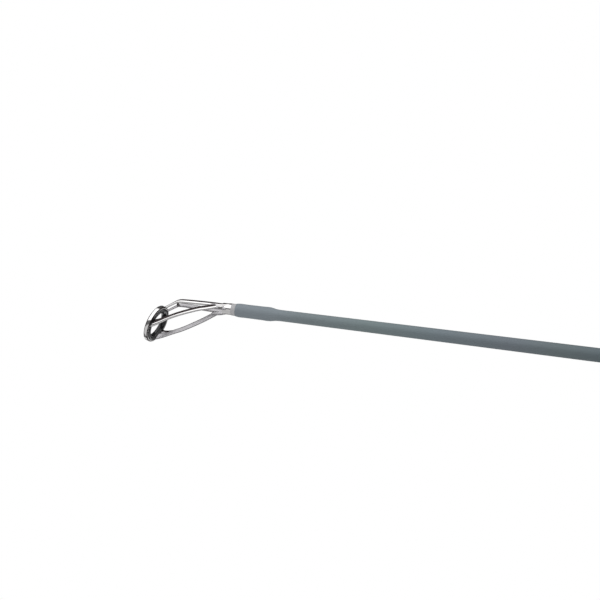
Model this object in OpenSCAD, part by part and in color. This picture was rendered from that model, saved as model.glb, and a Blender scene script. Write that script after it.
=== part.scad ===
// Two-piece spinning rod with its spinning reel, held level as it is fished.
// Origin: centre of the butt's end face. +X runs along the rod to the tip, +Z is up,
// and the reel and the line guides hang below the rod.

/* [Rod] */
// Length of the assembled rod
rod_length = 1680; // [1500:10:1900]
// Diameter of the painted blank just behind the tip guide
blank_tip_d = 2.5; // [2.3:0.1:3.2]
// Diameter of the blank at the joint of the two sections
blank_joint_d = 7.2; // [6.8:0.1:8]
// Diameter of the blank inside the handle
blank_butt_d = 9.5; // [9:0.1:10.4]
// Length of the butt section, from the butt to the joint
joint_x = 830; // [800:5:840]
// How far the spigot stands into the tip section
spigot_reach = 55; // [40:1:60]

/* [Tip guide] */
// Outer diameter of the ring frame
tip_ring_d = 7.7; // [7.4:0.1:8.2]
// Clear hole through the ceramic ring
tip_hole_d = 4.9; // [4.6:0.1:5.2]
// Lean of the ring, its lower edge forward
tip_lean = 20.5; // [15:0.5:25]
// Outer diameter of the tube
tip_tube_d = 2.3; // [2.2:0.05:2.5]
// Thickness of the stamped legs
tip_sheet = 0.34; // [0.3:0.02:0.4]

/* [Running guides] */
// Lean of the running guides' rings
guide_lean = 18; // [12:1:24]
// Thickness of the stamped frames
sheet = 0.7; // [0.6:0.1:1]

/* [Handle] */
// Length of the rear grip
rear_grip_length = 159; // [120:1:165]
// Largest diameter of the rear grip
grip_d = 27; // [25:0.5:30]
// Outer diameter of the reel seat's smooth saddle
seat_d = 20.4; // [20:0.1:21]

/* [Reel] */
// Depth of the rotor's axis below the rod's axis
reel_drop = 62; // [60:1:70]
// Length of the crank, from the drive shaft to the knob
crank_length = 50; // [45:1:52]
// Teeth on the drive gear, five times the pinion's teeth
drive_teeth = 50; // [50:5:50]
// Teeth on the pinion
pinion_teeth = 10; // [10:1:10]

/* [Hidden] */
$fn = 64;

function lerp(a, b, t) = a + (b - a) * t;

// Rod stations along X
tube_front = rod_length - 15.5;
tube_length = 10;
blank_tip_end = tube_front - 0.6;
painted_end = tube_front - tube_length;
spigot_gap = 2;
tip_base = joint_x + spigot_gap;
taper = (blank_joint_d - blank_tip_d) / 2 / (painted_end - tip_base);
blank_wall = 0.75;
bond = 0.02; // film of adhesive under the wraps
spigot_r = 2.6;
butt_r = blank_butt_d / 2;
check_x = 420;

function blank_r(x) =
    x >= tip_base ? blank_joint_d / 2 - taper * (x - tip_base)
  : x >= check_x ? lerp(butt_r, blank_joint_d / 2, (x - check_x) / (joint_x - check_x))
  : butt_r;

// Running guides, tip to butt: distance behind the rod's tip, frame radius, height, foot length
GUIDES = [
    [112, 3.4, 6.2, 9],
    [236, 3.9, 7.4, 10],
    [388, 5.2, 10.5, 12],
    [580, 7.4, 15.5, 14],
    [915, 11.5, 25.5, 17]
];
function guide_x(i) = rod_length - GUIDES[i][0];
function ring_r(i) = GUIDES[i][1];
function ring_depth(i) = blank_r(guide_x(i)) + GUIDES[i][2];
function frame_depth(i) = 1.2 + 0.06 * ring_r(i);
insert_wall = 0.9;
seat_wall = 0.75;
front_foot_reach = 29;
front_foot_length = 14;

// Handle stations along X
cap_length = 24;
rear_grip_end = cap_length + rear_grip_length;
seat_end = 337;
seat_r = seat_d / 2;
thread_start = 190;
thread_end = 240;
thread_pitch = 1.5;
nut_x = 207.5;
nut_length = 13.5;
hood_x = 221.5;
hood_length = 28;
fixed_hood_x = 304;
foot_start = 240;
foot_end = 314;
foot_width = 11;
foot_depth = 2.6;
thread_clearance = 0.15;

// Reel stations along X, and its axes
rotor_z = -reel_drop;
drive_offset = 7;
drive_z = rotor_z - drive_offset;
drive_x = 262;
tooth_module = 0.6;
pinion_r = pinion_teeth * tooth_module / 2;
mesh_arm = drive_teeth * tooth_module / 2;
pressure = 25;
backlash = 0.48;
face_width = 2;
gear_face_y = -3.55;
shaft_r = 1.5;
sleeve_r = 3.5;
run = 0.04;
cover_y = -9;
half_width = 13;
housing_r = 22;
housing_wall = 2.4;
tail_r = 15;
tail_reach = 19;
tail_z = rotor_z - 3;
pivot_x = 326;
arm_out = 32;
bail_tilt = 50;
bail_reach = 36;
bail_half = 31;
roller_reach = 18.5;
osc_x = drive_x - 11.9;
osc_z = drive_z + 1.5;
lever_x = drive_x - 36.5;
lever_z = rotor_z - 4;
osc_phase = 3.4; // turns one of the oscillation gear's gaps to face the drive shaft's gear

STEEL = [0.78, 0.78, 0.8];
CERAMIC = [0.12, 0.12, 0.14];
PAINT = [0.44, 0.49, 0.5];
GRIP = [0.16, 0.16, 0.17];
DARK = [0.22, 0.24, 0.25];
BRASS = [0.78, 0.62, 0.3];

// Cylinder along X from x0 to x1
module rod_x(x0, x1, r) {
    translate([x0, 0, 0]) rotate([0, 90, 0]) cylinder(h = x1 - x0, r = r);
}

// Tube along X
module tube_x(x0, x1, r_out, r_in) {
    difference() {
        rod_x(x0, x1, r_out);
        rod_x(x0 - 1, x1 + 1, r_in);
    }
}

// Body of revolution about X from a list of [x, r] pairs
module turned(points) {
    rotate([0, 90, 0]) rotate_extrude() polygon([for (p = points) [p[1], p[0]]]);
}

// Cylinder along Y, from y0 to y1, at x and z
module rod_y(x, z, y0, y1, r) {
    translate([x, y0, z]) rotate([-90, 0, 0]) cylinder(h = y1 - y0, r = r);
}

// Extrudes an outline drawn in X and Z over a span of Y
module slab_y(y0, y1) {
    translate([0, y1, 0]) rotate([90, 0, 0]) linear_extrude(height = y1 - y0) children();
}

// ---------------------------------------------------------------- rod sections

module blank_tip() {
    color(PAINT) difference() {
        turned([
            [tip_base, 0], [tip_base, blank_r(tip_base)], [painted_end, blank_tip_d / 2],
            [painted_end, 0.92], [blank_tip_end, 0.9], [blank_tip_end, 0]
        ]);
        rod_x(tip_base - 1, tip_base + spigot_reach + 5, spigot_r + run);
        turned([
            [tip_base + spigot_reach, 0], [tip_base + spigot_reach, spigot_r],
            [painted_end - 250, blank_r(painted_end - 250) - blank_wall], [painted_end - 250, 0]
        ]);
    }
}

module blank_butt() {
    color(PAINT) difference() {
        turned([
            [cap_length - 10, 0], [cap_length - 10, butt_r], [check_x, butt_r],
            [joint_x, blank_joint_d / 2], [joint_x, 0]
        ]);
        rod_x(joint_x - spigot_reach, joint_x + 1, spigot_r);
        turned([
            [0, 0], [0, butt_r - 1.1], [check_x, butt_r - 1.1],
            [joint_x - spigot_reach, spigot_r], [joint_x - spigot_reach, 0]
        ]);
    }
}

module ferrule_spigot() {
    color(DARK) union() {
        rod_x(joint_x - spigot_reach, joint_x, spigot_r);
        rod_x(joint_x, tip_base + spigot_reach - 1, spigot_r);
        turned([
            [tip_base + spigot_reach - 1, 0], [tip_base + spigot_reach - 1, spigot_r],
            [tip_base + spigot_reach, spigot_r - 0.5], [tip_base + spigot_reach, 0]
        ]);
    }
}

// Sleeve of thread and varnish on the blank, with ramped ends
module wrap(x0, x1, build) {
    ramp = min(1.2, (x1 - x0) / 4);
    difference() {
        turned([
            [x0, 0], [x0, blank_r(x0) + 0.05], [x0 + ramp, blank_r(x0 + ramp) + build],
            [x1 - ramp, blank_r(x1 - ramp) + build], [x1, blank_r(x1) + 0.05], [x1, 0]
        ]);
        turned([
            [x0 - 0.3, 0], [x0 - 0.3, blank_r(x0 - 0.3) + bond],
            [x1 + 0.3, blank_r(x1 + 0.3) + bond], [x1 + 0.3, 0]
        ]);
    }
}

// Wrap over one guide's foot, cut away where the foot lies
module guide_wrap(i) {
    foot = GUIDES[i][3];
    difference() {
        wrap(guide_x(i) - foot - 3, guide_x(i) - 1.5, 0.45);
        guide_foot(i, 0.02);
    }
}

// Wrap over the second foot of the guide nearest the butt
module front_foot_wrap() {
    x = guide_x(4) + front_foot_reach;
    difference() {
        wrap(x + 2, x + front_foot_length + 3, 0.45);
        front_foot(0.02);
    }
}

module tip_section_wraps() {
    color(PAINT) {
        for (i = [0 : 3]) guide_wrap(i);
        wrap(tip_base + 0.5, tip_base + 20, 0.3);
    }
}

module butt_section_wraps() {
    color(PAINT) {
        guide_wrap(4);
        front_foot_wrap();
        wrap(joint_x - 16, joint_x - 0.5, 0.3);
        difference() {
            wrap(check_x + 12, check_x + 34, 0.45);
            keeper_feet(0.02);
        }
    }
}

// ---------------------------------------------------------------- tip guide

tip_ring_x = tube_front + 12.9;
tip_ring_z = -5.45;

// Places children on the tip ring's centre, its axis along Z
module at_tip_ring() {
    translate([tip_ring_x, 0, tip_ring_z]) rotate([0, 90 - tip_lean, 0]) children();
}

module tip_guide_tube() {
    color(STEEL) difference() {
        rod_x(painted_end, tube_front, tip_tube_d / 2);
        rod_x(painted_end - 1, blank_tip_end, 0.93);
    }
}

module tip_guide_ring() {
    hole = tip_hole_d / 2;
    color(CERAMIC) at_tip_ring() rotate_extrude() polygon([
        [hole, -0.35], [hole + 0.3, -0.75], [tip_ring_d / 2 - 0.55, -0.75],
        [tip_ring_d / 2 - 0.55, 0.75], [hole + 0.3, 0.75], [hole, 0.35]
    ]);
}

// Bar of stamped sheet between two points, standing on edge
module strut(a, b, width, thick) {
    hull() {
        for (p = [a, b]) translate(p) rotate([90, 0, 0])
            cylinder(h = thick, r = width / 2, center = true, $fn = 20);
    }
}

module tip_guide_frame() {
    bend = [tube_front + 9.4, 0.85, 0.15];
    leg_angle = 128;
    side = tip_tube_d / 2 + tip_sheet / 2 + 0.01;
    color(STEEL) difference() {
        union() {
            at_tip_ring() cylinder(h = 1.1, r = tip_ring_d / 2, center = true);
            for (s = [-1, 1]) {
                strut([tube_front, s * side, 0], [bend[0], s * bend[1], bend[2]], 0.8, tip_sheet);
                strut([tube_front - 0.4, s * side, 0], [tube_front + 1.4, s * side, -0.15], 1.6, tip_sheet);
                hull() {
                    translate([tube_front + 1.6, s * side, -0.4]) cube([1.2, tip_sheet, 0.9], center = true);
                    at_tip_ring() rotate(180 - s * leg_angle) translate([tip_ring_d / 2 - 0.1, 0, 0])
                        cube([0.34, 1.1, 0.9], center = true);
                }
            }
            hull() {
                translate(bend - [0, bend[1], 0]) cube([0.5, 2 * bend[1] + tip_sheet, 0.7], center = true);
                at_tip_ring() translate([-tip_ring_d / 2 + 0.2, 0, 0]) cube([0.4, 1.7, 0.9], center = true);
            }
        }
        at_tip_ring() cylinder(h = 1.7, r = tip_ring_d / 2 - 0.55, center = true);
    }
}

module tip_guide_wrap() {
    color(PAINT) difference() {
        turned([
            [painted_end - 1.5, 0], [painted_end - 1.5, blank_tip_d / 2 + 0.02],
            [painted_end + 0.5, 1.42], [tube_front - 3.2, 1.42],
            [tube_front - 2.4, tip_tube_d / 2 + 0.05], [tube_front - 2.4, 0]
        ]);
        turned([
            [painted_end - 2, 0], [painted_end - 2, blank_r(painted_end - 2) + bond],
            [painted_end + bond, blank_tip_d / 2 + bond], [painted_end + bond, tip_tube_d / 2 + bond],
            [tube_front + 1, tip_tube_d / 2 + bond], [tube_front + 1, 0]
        ]);
    }
}

// ---------------------------------------------------------------- running guides

module at_ring(i) {
    translate([guide_x(i) + 0.35 * ring_depth(i), 0, -ring_depth(i)])
        rotate([0, 90 - guide_lean, 0]) children();
}

// Flat foot that lies along the blank's underside
module guide_foot(i, grow) {
    x = guide_x(i);
    foot = GUIDES[i][3];
    wide = 0.9 + 0.16 * ring_r(i);
    translate([x - foot, 0, -blank_r(x) - 0.62]) rotate([90, 0, 0])
        linear_extrude(height = wide + 2 * grow, center = true) polygon([
            [-grow, -0.05 - grow], [foot + 1.5, -0.35 - grow],
            [foot + 1.5, 0.6], [0, 0.6 + foot * taper], [-grow, 0.3]
        ]);
}

// Second foot of the guide nearest the butt, which stands on two feet
module front_foot(grow) {
    x = guide_x(4) + front_foot_reach;
    translate([x - grow, -1.3 - grow, -blank_r(x) - 0.95 - grow])
        cube([front_foot_length + 2 * grow, 2.6 + 2 * grow, 1.3]);
}

// Leg of stamped sheet from the blank's underside at x to the ring, at an angle from its top
module guide_leg(i, x, y, angle) {
    hull() {
        translate([x, y, -blank_r(x) - 0.75]) cube([2, sheet, 0.7], center = true);
        at_ring(i) rotate(180 - angle) translate([ring_r(i) - 0.15, 0, 0])
            cube([sheet * 0.9, 0.5 + 0.1 * ring_r(i), 1.1], center = true);
    }
}

module guide_frame(i) {
    r = ring_r(i);
    x = guide_x(i);
    color(STEEL) difference() {
        union() {
            at_ring(i) cylinder(h = frame_depth(i), r = r, center = true);
            guide_foot(i, 0);
            for (s = [-1, 1]) guide_leg(i, x, s * (0.3 + 0.05 * r), s * 100);
            if (i == 4) {
                front_foot(0);
                for (s = [-1, 1]) guide_leg(i, x + front_foot_reach + 1, s * 0.8, s * 38);
            }
        }
        turned([
            [x - 40, 0], [x - 40, blank_r(x - 40)], [x + 50, blank_r(x + 50)], [x + 50, 0]
        ]);
        at_ring(i) cylinder(h = frame_depth(i) + 0.4, r = r - seat_wall, center = true);
    }
}

module guide_ring(i) {
    r = ring_r(i) - seat_wall;
    hole = r - insert_wall;
    color(CERAMIC) at_ring(i) rotate_extrude() polygon([
        [hole, -0.4], [hole + 0.35, -0.85], [r, -0.85], [r, 0.85], [hole + 0.35, 0.85], [hole, 0.4]
    ]);
}

// ---------------------------------------------------------------- handle

module winding_check() {
    color(STEEL) difference() {
        turned([
            [check_x, 0], [check_x, 8.4], [check_x + 1.5, 8.4], [check_x + 4, 6.2],
            [check_x + 7, 5.6], [check_x + 7, 0]
        ]);
        rod_x(check_x - 1, check_x + 9, butt_r);
    }
}

// Feet of the hook keeper, under the wrap
module keeper_feet(grow) {
    z = -butt_r - 0.2;
    for (x = [check_x + 13, check_x + 26]) translate([x - grow, -1 - grow, z - 0.35 - grow])
        cube([7 + 2 * grow, 2 + 2 * grow, 1 + grow]);
}

module hook_keeper() {
    color(STEEL) difference() {
        union() {
            keeper_feet(0);
            translate([check_x + 23, 0, -butt_r - 0.3]) rotate([90, 0, 0]) rotate_extrude(angle = -180)
                translate([3.6, 0]) circle(r = 0.55, $fn = 20);
        }
        rod_x(check_x, check_x + 50, butt_r);
    }
}

module fore_grip() {
    color(GRIP) difference() {
        turned([
            [seat_end, 0], [seat_end, 12.2], [seat_end + 3, 12.8], [seat_end + 18, 12],
            [seat_end + 40, 10.2], [seat_end + 62, 9.2], [seat_end + 78, 9], [seat_end + 83, 8.4],
            [seat_end + 83, 0]
        ]);
        rod_x(seat_end - 1, seat_end + 84, butt_r);
    }
}

module seat_tube() {
    turns = floor((thread_end - thread_start) / thread_pitch);
    crest = seat_r;
    root = seat_r - 0.6;
    color(DARK) difference() {
        turned([
            [rear_grip_end, 0], [rear_grip_end, 12], [thread_start - 3, 12], [thread_start - 2, root],
            for (k = [0 : turns - 1]) each [
                [thread_start + k * thread_pitch, root],
                [thread_start + (k + 0.4) * thread_pitch, crest],
                [thread_start + (k + 0.6) * thread_pitch, crest]
            ],
            [thread_end, root], [thread_end, seat_r], [seat_end, seat_r], [seat_end, 0]
        ]);
        rod_x(rear_grip_end - 1, seat_end + 1, butt_r);
    }
}

// The reel foot's plate; grow opens the hoods' pockets round it
module foot_plate(grow) {
    translate([0, foot_width / 2 + grow, -seat_r]) rotate([90, 0, 0])
        linear_extrude(height = foot_width + 2 * grow) polygon([
            [foot_start - grow, 2.5], [foot_start - grow, -0.7 - grow],
            [foot_start + 16, -foot_depth - grow], [foot_end - 16, -foot_depth - grow],
            [foot_end + grow, -0.7 - grow], [foot_end + grow, 2.5]
        ]);
}

// Collar with a swollen underside and a pocket for one end of the reel foot
module hood(x0, x1, bore, mouth) {
    color(DARK) difference() {
        union() {
            turned([
                [x0, 0], [x0, 12.2], [x0 + 1, 12.8], [x1 - 1, 12.8], [x1, 12.2], [x1, 0]
            ]);
            intersection() {
                translate([x0 + 1, -7.5, -15]) cube([x1 - x0 - 2, 15, 8]);
                turned([
                    [x0 + 1, 0], [x0 + 1, 13], [lerp(x0, x1, mouth), 15], [x1 - 1, lerp(15, 13, mouth)],
                    [x1 - 1, 0]
                ]);
            }
        }
        rod_x(x0 - 1, x1 + 1, bore);
        foot_plate(0.1);
    }
}

module fixed_hood() {
    hood(fixed_hood_x, seat_end - 0.5, seat_r, 0.1);
}

module sliding_hood() {
    hood(hood_x, hood_x + hood_length, seat_r + thread_clearance, 0.9);
}

module lock_nut() {
    flutes = 18;
    color(DARK) difference() {
        turned([
            [nut_x, 0], [nut_x, 12.4], [nut_x + 1, 13], [nut_x + nut_length - 1, 13],
            [nut_x + nut_length, 12.4], [nut_x + nut_length, 0]
        ]);
        rod_x(nut_x - 1, nut_x + nut_length + 1, seat_r + thread_clearance);
        for (k = [0 : flutes - 1]) rotate([k * 360 / flutes, 0, 0]) translate([nut_x + 2.5, 0, 13.6])
            rotate([0, 90, 0]) cylinder(h = nut_length - 5, r = 1.2, $fn = 24);
    }
}

module grip_collar() {
    color(STEEL) tube_x(rear_grip_end - 4, rear_grip_end, 12.3, butt_r);
}

module rear_grip() {
    r = grip_d / 2;
    x1 = rear_grip_end - 4;
    color(GRIP) difference() {
        turned([
            [cap_length, 0], [cap_length, r], [cap_length + 80, r], [cap_length + 108, r - 2.6],
            [x1 - 22, r - 3.2], [x1 - 4, r - 1.4], [x1, r - 1.6], [x1, 0]
        ]);
        rod_x(cap_length - 1, x1 + 1, butt_r);
    }
}

module butt_cap() {
    r = grip_d / 2;
    color([0.1, 0.1, 0.1]) difference() {
        turned([
            [0, 0], [0, r - 4], [1, r - 2.2], [3, r - 0.6], [6, r], [cap_length, r], [cap_length, 0]
        ]);
        rod_x(cap_length - 10, cap_length + 1, butt_r);
    }
}

// ---------------------------------------------------------------- reel housing

module housing_outline(inset) {
    hull() {
        translate([drive_x, drive_z]) circle(r = housing_r - inset, $fn = 96);
        translate([drive_x - tail_reach, tail_z]) circle(r = tail_r - inset, $fn = 72);
    }
}

function around(x, z, r, a) = [x + r * cos(a), z + r * sin(a)];
lug_r = 2.8;
lug_inset = 0.6;
SCREW_SPOTS = [
    around(drive_x, drive_z, housing_r - lug_inset, 48),
    around(drive_x - tail_reach, tail_z, tail_r - lug_inset, 135),
    around(drive_x, drive_z, housing_r - lug_inset, -75)
];

// Front of the housing, round the pinion; grow leaves room for it in the cover
module nose(grow) {
    translate([0, 0, rotor_z]) turned([
        [drive_x + 17, 0], [drive_x + 17, 14.5 + grow], [drive_x + 26, 17.4 + grow],
        [drive_x + 35, 17.4 + grow], [drive_x + 35, 0]
    ]);
}

module reel_body() {
    color(PAINT) difference() {
        union() {
            hull() {
                slab_y(cover_y, 8.5) housing_outline(0);
                slab_y(cover_y, half_width) housing_outline(4.5);
            }
            nose(0);
            for (p = SCREW_SPOTS) rod_y(p[0], p[1], cover_y, cover_y + 7, lug_r);
            hull() {
                translate([drive_x - 4, -4.5, rotor_z + 11]) cube([17, 9, 1]);
                translate([drive_x + 6, -3.8, -seat_r - foot_depth]) cube([20, 7.6, 1]);
            }
            difference() {
                foot_plate(0);
                rod_x(foot_start - 5, foot_end + 5, seat_r);
            }
            rod_y(drive_x, drive_z, 8, half_width + 1.5, 9);
            translate([0, 0, lever_z]) rod_x(lever_x, drive_x - 28, 4.2);
        }
        slab_y(cover_y - 1, 10.2) housing_outline(housing_wall);
        translate([drive_x + 10, -20, rotor_z - 20]) cube([15, 20 + cover_y, 40]);
        translate([0, 0, lever_z]) rod_x(lever_x - 1, lever_x + 5, 1.5);
        rod_y(drive_x, drive_z, 5, half_width + 3, 6);
        translate([0, 0, rotor_z]) {
            rod_x(drive_x + 10, drive_x + 40, 7);
            rod_x(drive_x + 27, drive_x + 40, 9.5);
            tube_x(drive_x + 29, drive_x + 40, 16, 11.5);
        }
        for (p = SCREW_SPOTS) rod_y(p[0], p[1], cover_y - 1, cover_y + 6, 0.9);
    }
    color(STEEL) rod_y(osc_x, osc_z, 5.4, 10.2, 1.5);
}

module side_cover() {
    color(DARK) difference() {
        union() {
            hull() {
                slab_y(-10.5, cover_y) housing_outline(0);
                slab_y(-half_width, cover_y) housing_outline(4.5);
            }
            rod_y(drive_x, drive_z, -half_width - 1.5, -10, 9);
            for (p = SCREW_SPOTS) rod_y(p[0], p[1], -11.8, cover_y, lug_r);
        }
        nose(0.15);
        slab_y(-10.4, cover_y + 1) housing_outline(housing_wall);
        rod_y(drive_x, drive_z, -half_width - 0.2, -5, 6);
        rod_y(drive_x, drive_z, -half_width - 3, -5, 4.5);
        for (p = SCREW_SPOTS) {
            rod_y(p[0], p[1], -half_width - 3, cover_y + 1, 1);
            rod_y(p[0], p[1], -half_width - 3, -10.3, 1.9);
        }
    }
}

module cover_screws() {
    color(STEEL) for (p = SCREW_SPOTS) difference() {
        union() {
            rod_y(p[0], p[1], -10.3, cover_y + 5.5, 0.85);
            rod_y(p[0], p[1], -11.8, -10.3, 1.8);
        }
        translate([p[0], -11.8, p[1]]) cube([2.6, 1.1, 0.5], center = true);
        translate([p[0], -11.8, p[1]]) cube([0.5, 1.1, 2.6], center = true);
    }
}

// Closed ball bearing as one ring with a groove on each face
module bearing(width, r_out, r_in) {
    mid = (r_out + r_in) / 2;
    rotate_extrude() polygon([
        [r_in, 0], [mid - 0.7, 0], [mid - 0.7, 0.25], [mid + 0.7, 0.25], [mid + 0.7, 0], [r_out, 0],
        [r_out, width], [mid + 0.7, width], [mid + 0.7, width - 0.25], [mid - 0.7, width - 0.25],
        [mid - 0.7, width], [r_in, width]
    ]);
}

module drive_bearings() {
    color(STEEL) {
        translate([drive_x, 10.3, drive_z]) rotate([-90, 0, 0]) bearing(4, 6, 3);
        translate([drive_x, -13.2, drive_z]) rotate([-90, 0, 0]) bearing(4, 6, 3);
    }
}

module pinion_bearing() {
    color(STEEL) translate([drive_x + 21, 0, rotor_z]) rotate([0, 90, 0]) bearing(5.5, 7, sleeve_r + run);
}

module one_way_clutch() {
    color(BRASS) translate([drive_x + 27, 0, rotor_z]) rotate([0, 90, 0]) bearing(7.5, 9.5, sleeve_r + run);
}

module shaft_cap() {
    color(DARK) difference() {
        union() {
            rod_y(drive_x, drive_z, -half_width - 1.5, -half_width - 0.2, 4.5);
            rod_y(drive_x, drive_z, -half_width - 4, -half_width - 1.5, 6.5);
        }
        for (k = [0 : 11]) translate([drive_x, 0, drive_z]) rotate([0, k * 30, 0])
            rod_y(6.9, 0, -half_width - 5, -half_width - 2.2, 0.8, $fn = 20);
        rod_y(drive_x, drive_z, -half_width - 5, -half_width - 3.4, 4);
    }
}

module anti_reverse_lever() {
    x = lever_x - 0.3;
    color(DARK) translate([0, 0, lever_z]) {
        rod_x(x - 1, lever_x + 4.6, 1.5 - run);
        rod_x(x - 3, x, 3.6);
        translate([x - 3, -1.6, -12]) cube([2.4, 3.2, 11]);
        translate([x - 4.2, -2.6, -13.5]) cube([3.6, 5.2, 4]);
    }
}

// ---------------------------------------------------------------- gears

function inv(a) = tan(a) - a * PI / 180;

// Half the tooth's angle, in degrees, at radius r of a spur gear with this pitch radius
function half_tooth(r, pitch_r, half_width) =
    let (base_r = pitch_r * cos(pressure), a = r > base_r ? acos(base_r / r) : 0)
    (half_width / pitch_r + inv(pressure) - inv(a)) * 180 / PI;

// Outline of a spur gear; its teeth are worked out as [radius, angle] points
module spur_outline(teeth, pitch_r, addendum, dedendum, half_width) {
    step = 360 / teeth;
    radii = [for (k = [0 : 3]) lerp(pitch_r - 0.25, pitch_r + addendum, k / 3)];
    flank = [for (r = radii) [r, half_tooth(r, pitch_r, half_width)]];
    root = [pitch_r - dedendum, flank[0][1]];
    tooth = concat(
        [[root[0], -root[1]]], [for (p = flank) [p[0], -p[1]]],
        [for (k = [3 : -1 : 0]) flank[k]], [root]
    );
    polygon([
        for (t = [0 : teeth - 1]) for (p = tooth)
            [p[0] * cos(p[1] + t * step), p[0] * sin(p[1] + t * step)]
    ]);
}

tooth_half = (PI * tooth_module / 2 - backlash / 2) / 2;

module drive_shaft() {
    color(STEEL) {
        rod_y(drive_x, drive_z, -12.8, 20, 3 - run);
        translate([drive_x, 7.4, drive_z]) rotate([90, 0, 0]) linear_extrude(height = 2)
            spur_outline(12, 4, 0.4, 0.62, 0.36);
    }
}

// Face gear: straight teeth, each tangent to a circle as large as the pinion's offset
module drive_gear() {
    tip = 0.42;
    outer = sqrt(pow(mesh_arm + face_width / 2, 2) + pow(drive_offset, 2));
    color(BRASS) difference() {
        union() {
            rod_y(drive_x, drive_z, gear_face_y - 1.8, gear_face_y, outer + 0.6);
            rod_y(drive_x, drive_z, gear_face_y - 4, gear_face_y + 0.5, 6);
            for (k = [0 : drive_teeth - 1]) translate([drive_x, 0, drive_z])
                rotate([0, k * 360 / drive_teeth, 0]) translate([mesh_arm - face_width / 2, 0, drive_offset]) rotate([90, 0, 90])
                linear_extrude(height = face_width) polygon([
                    [-pinion_r - 0.6, -tooth_half - 0.6 * tan(pressure)],
                    [-pinion_r + tip, -tooth_half + tip * tan(pressure)],
                    [-pinion_r + tip, tooth_half - tip * tan(pressure)],
                    [-pinion_r - 0.6, tooth_half + 0.6 * tan(pressure)]
                ]);
        }
        rod_y(drive_x, drive_z, gear_face_y - 6, gear_face_y + 2, 3 - run);
    }
}

module oscillation_gear() {
    color(BRASS) difference() {
        union() {
            translate([osc_x, 7.4, osc_z]) rotate([90, osc_phase, 0]) linear_extrude(height = 2)
                spur_outline(24, 8, 0.4, 0.62, 0.36);
            rod_y(osc_x + 4, osc_z, 4.75, 5.6, 1.2);
        }
        rod_y(osc_x, osc_z, 3, 9, 1.55);
    }
}

module pinion_gear() {
    back = drive_x + mesh_arm - face_width / 2 - 0.5;
    front = drive_x + 47;
    tooth_length = face_width + 2.2;
    color(BRASS) translate([0, 0, rotor_z]) difference() {
        union() {
            translate([back, 0, 0]) rotate([0, 90, 0]) linear_extrude(height = tooth_length)
                rotate(360 / pinion_teeth / 2 - 90)
                spur_outline(pinion_teeth, pinion_r, 0.4, 0.62, tooth_half);
            rod_x(back + tooth_length, front, sleeve_r);
        }
        rod_x(back - 1, front + 1, shaft_r + run);
    }
}

// ---------------------------------------------------------------- rotor and bail

module rotor_arm_outline() {
    polygon([
        [drive_x + 30, 18.8], [drive_x + 30, 27], [drive_x + 36, arm_out], [pivot_x, arm_out],
        [pivot_x, 28.4], [drive_x + 40.4, 28.4], [drive_x + 36, 25], [drive_x + 36, 18.8]
    ]);
}

module rotor() {
    color(PAINT) translate([0, 0, rotor_z]) difference() {
        union() {
            turned([
                [drive_x + 30, 18.4], [drive_x + 30, 21.5], [drive_x + 35, 21.5], [drive_x + 36, 20],
                [drive_x + 47, 20], [drive_x + 47, 18.4]
            ]);
            tube_x(drive_x + 38, drive_x + 41, 18.5, sleeve_r);
            for (s = [0, 180]) rotate([s, 0, 0]) {
                translate([0, 0, -6.5]) linear_extrude(height = 13) rotor_arm_outline();
                rod_y(pivot_x, 0, 28.4, arm_out, 6.5);
            }
        }
        for (s = [0, 180]) rotate([s, 0, 0]) {
            rod_y(pivot_x, 0, 27, arm_out + 1, 2);
        }
    }
}

module rotor_nut() {
    color(BRASS) translate([drive_x + 41, 0, rotor_z]) rotate([0, 90, 0]) difference() {
        cylinder(h = 4, r = 7, $fn = 6);
        translate([0, 0, -1]) cylinder(h = 6, r = sleeve_r);
    }
}

// Turns bail parts, drawn with their reach along X, into the closed position
module closed_bail() {
    translate([pivot_x, 0, rotor_z]) rotate([0, bail_tilt, 0]) children();
}

module bail_arm() {
    color(STEEL) closed_bail() difference() {
        union() {
            hull() {
                rod_y(0, 0, arm_out + 0.3, arm_out + 3, 6.3);
                rod_y(roller_reach, 0, arm_out + 0.3, arm_out + 3, 4.2);
            }
            rod_y(0, 0, arm_out - 3, arm_out + 1, 2 - run);
        }
        rod_y(roller_reach, 0, arm_out - 1, arm_out + 4, 1.5);
    }
}

module bail_bracket() {
    color(STEEL) closed_bail() {
        hull() {
            rod_y(0, 0, -arm_out - 3, -arm_out - 0.3, 6.3);
            rod_y(10.5, 0, -arm_out - 3, -arm_out - 0.3, 2.6);
        }
        rod_y(0, 0, -arm_out - 1, -arm_out + 3, 2 - run);
        rod_y(10.5, 0, -arm_out - 1, -29.6, 1.7);
    }
}

// Bail wire: a tube swept along half an ellipse, with a ring of points at each step
wire_r = 0.9;
wire_steps = 36;
wire_sides = 12;
wire_start = 32;
wire_end = 163;
function wire_angle(k) = lerp(wire_start, wire_end, k / wire_steps);
function wire_point(a) = [bail_reach * sin(a), bail_half * cos(a), 0];
function wire_normal(a) = let (n = [sin(a) / bail_reach, cos(a) / bail_half, 0]) n / norm(n);

module bail_wire() {
    points = [
        for (k = [0 : wire_steps]) let (a = wire_angle(k), c = wire_point(a), n = wire_normal(a))
            for (j = [0 : wire_sides - 1]) let (b = j * 360 / wire_sides)
                c + wire_r * (cos(b) * n + sin(b) * [0, 0, 1])
    ];
    faces = concat(
        [[for (j = [0 : wire_sides - 1]) j]],
        [for (k = [0 : wire_steps - 1]) for (j = [0 : wire_sides - 1]) let (
            a = k * wire_sides + j, b = k * wire_sides + (j + 1) % wire_sides
        ) [a, a + wire_sides, b + wire_sides, b]],
        [[for (j = [wire_sides - 1 : -1 : 0]) wire_steps * wire_sides + j]]
    );
    color(STEEL) closed_bail() polyhedron(points = points, faces = faces, convexity = 4);
}

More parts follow.
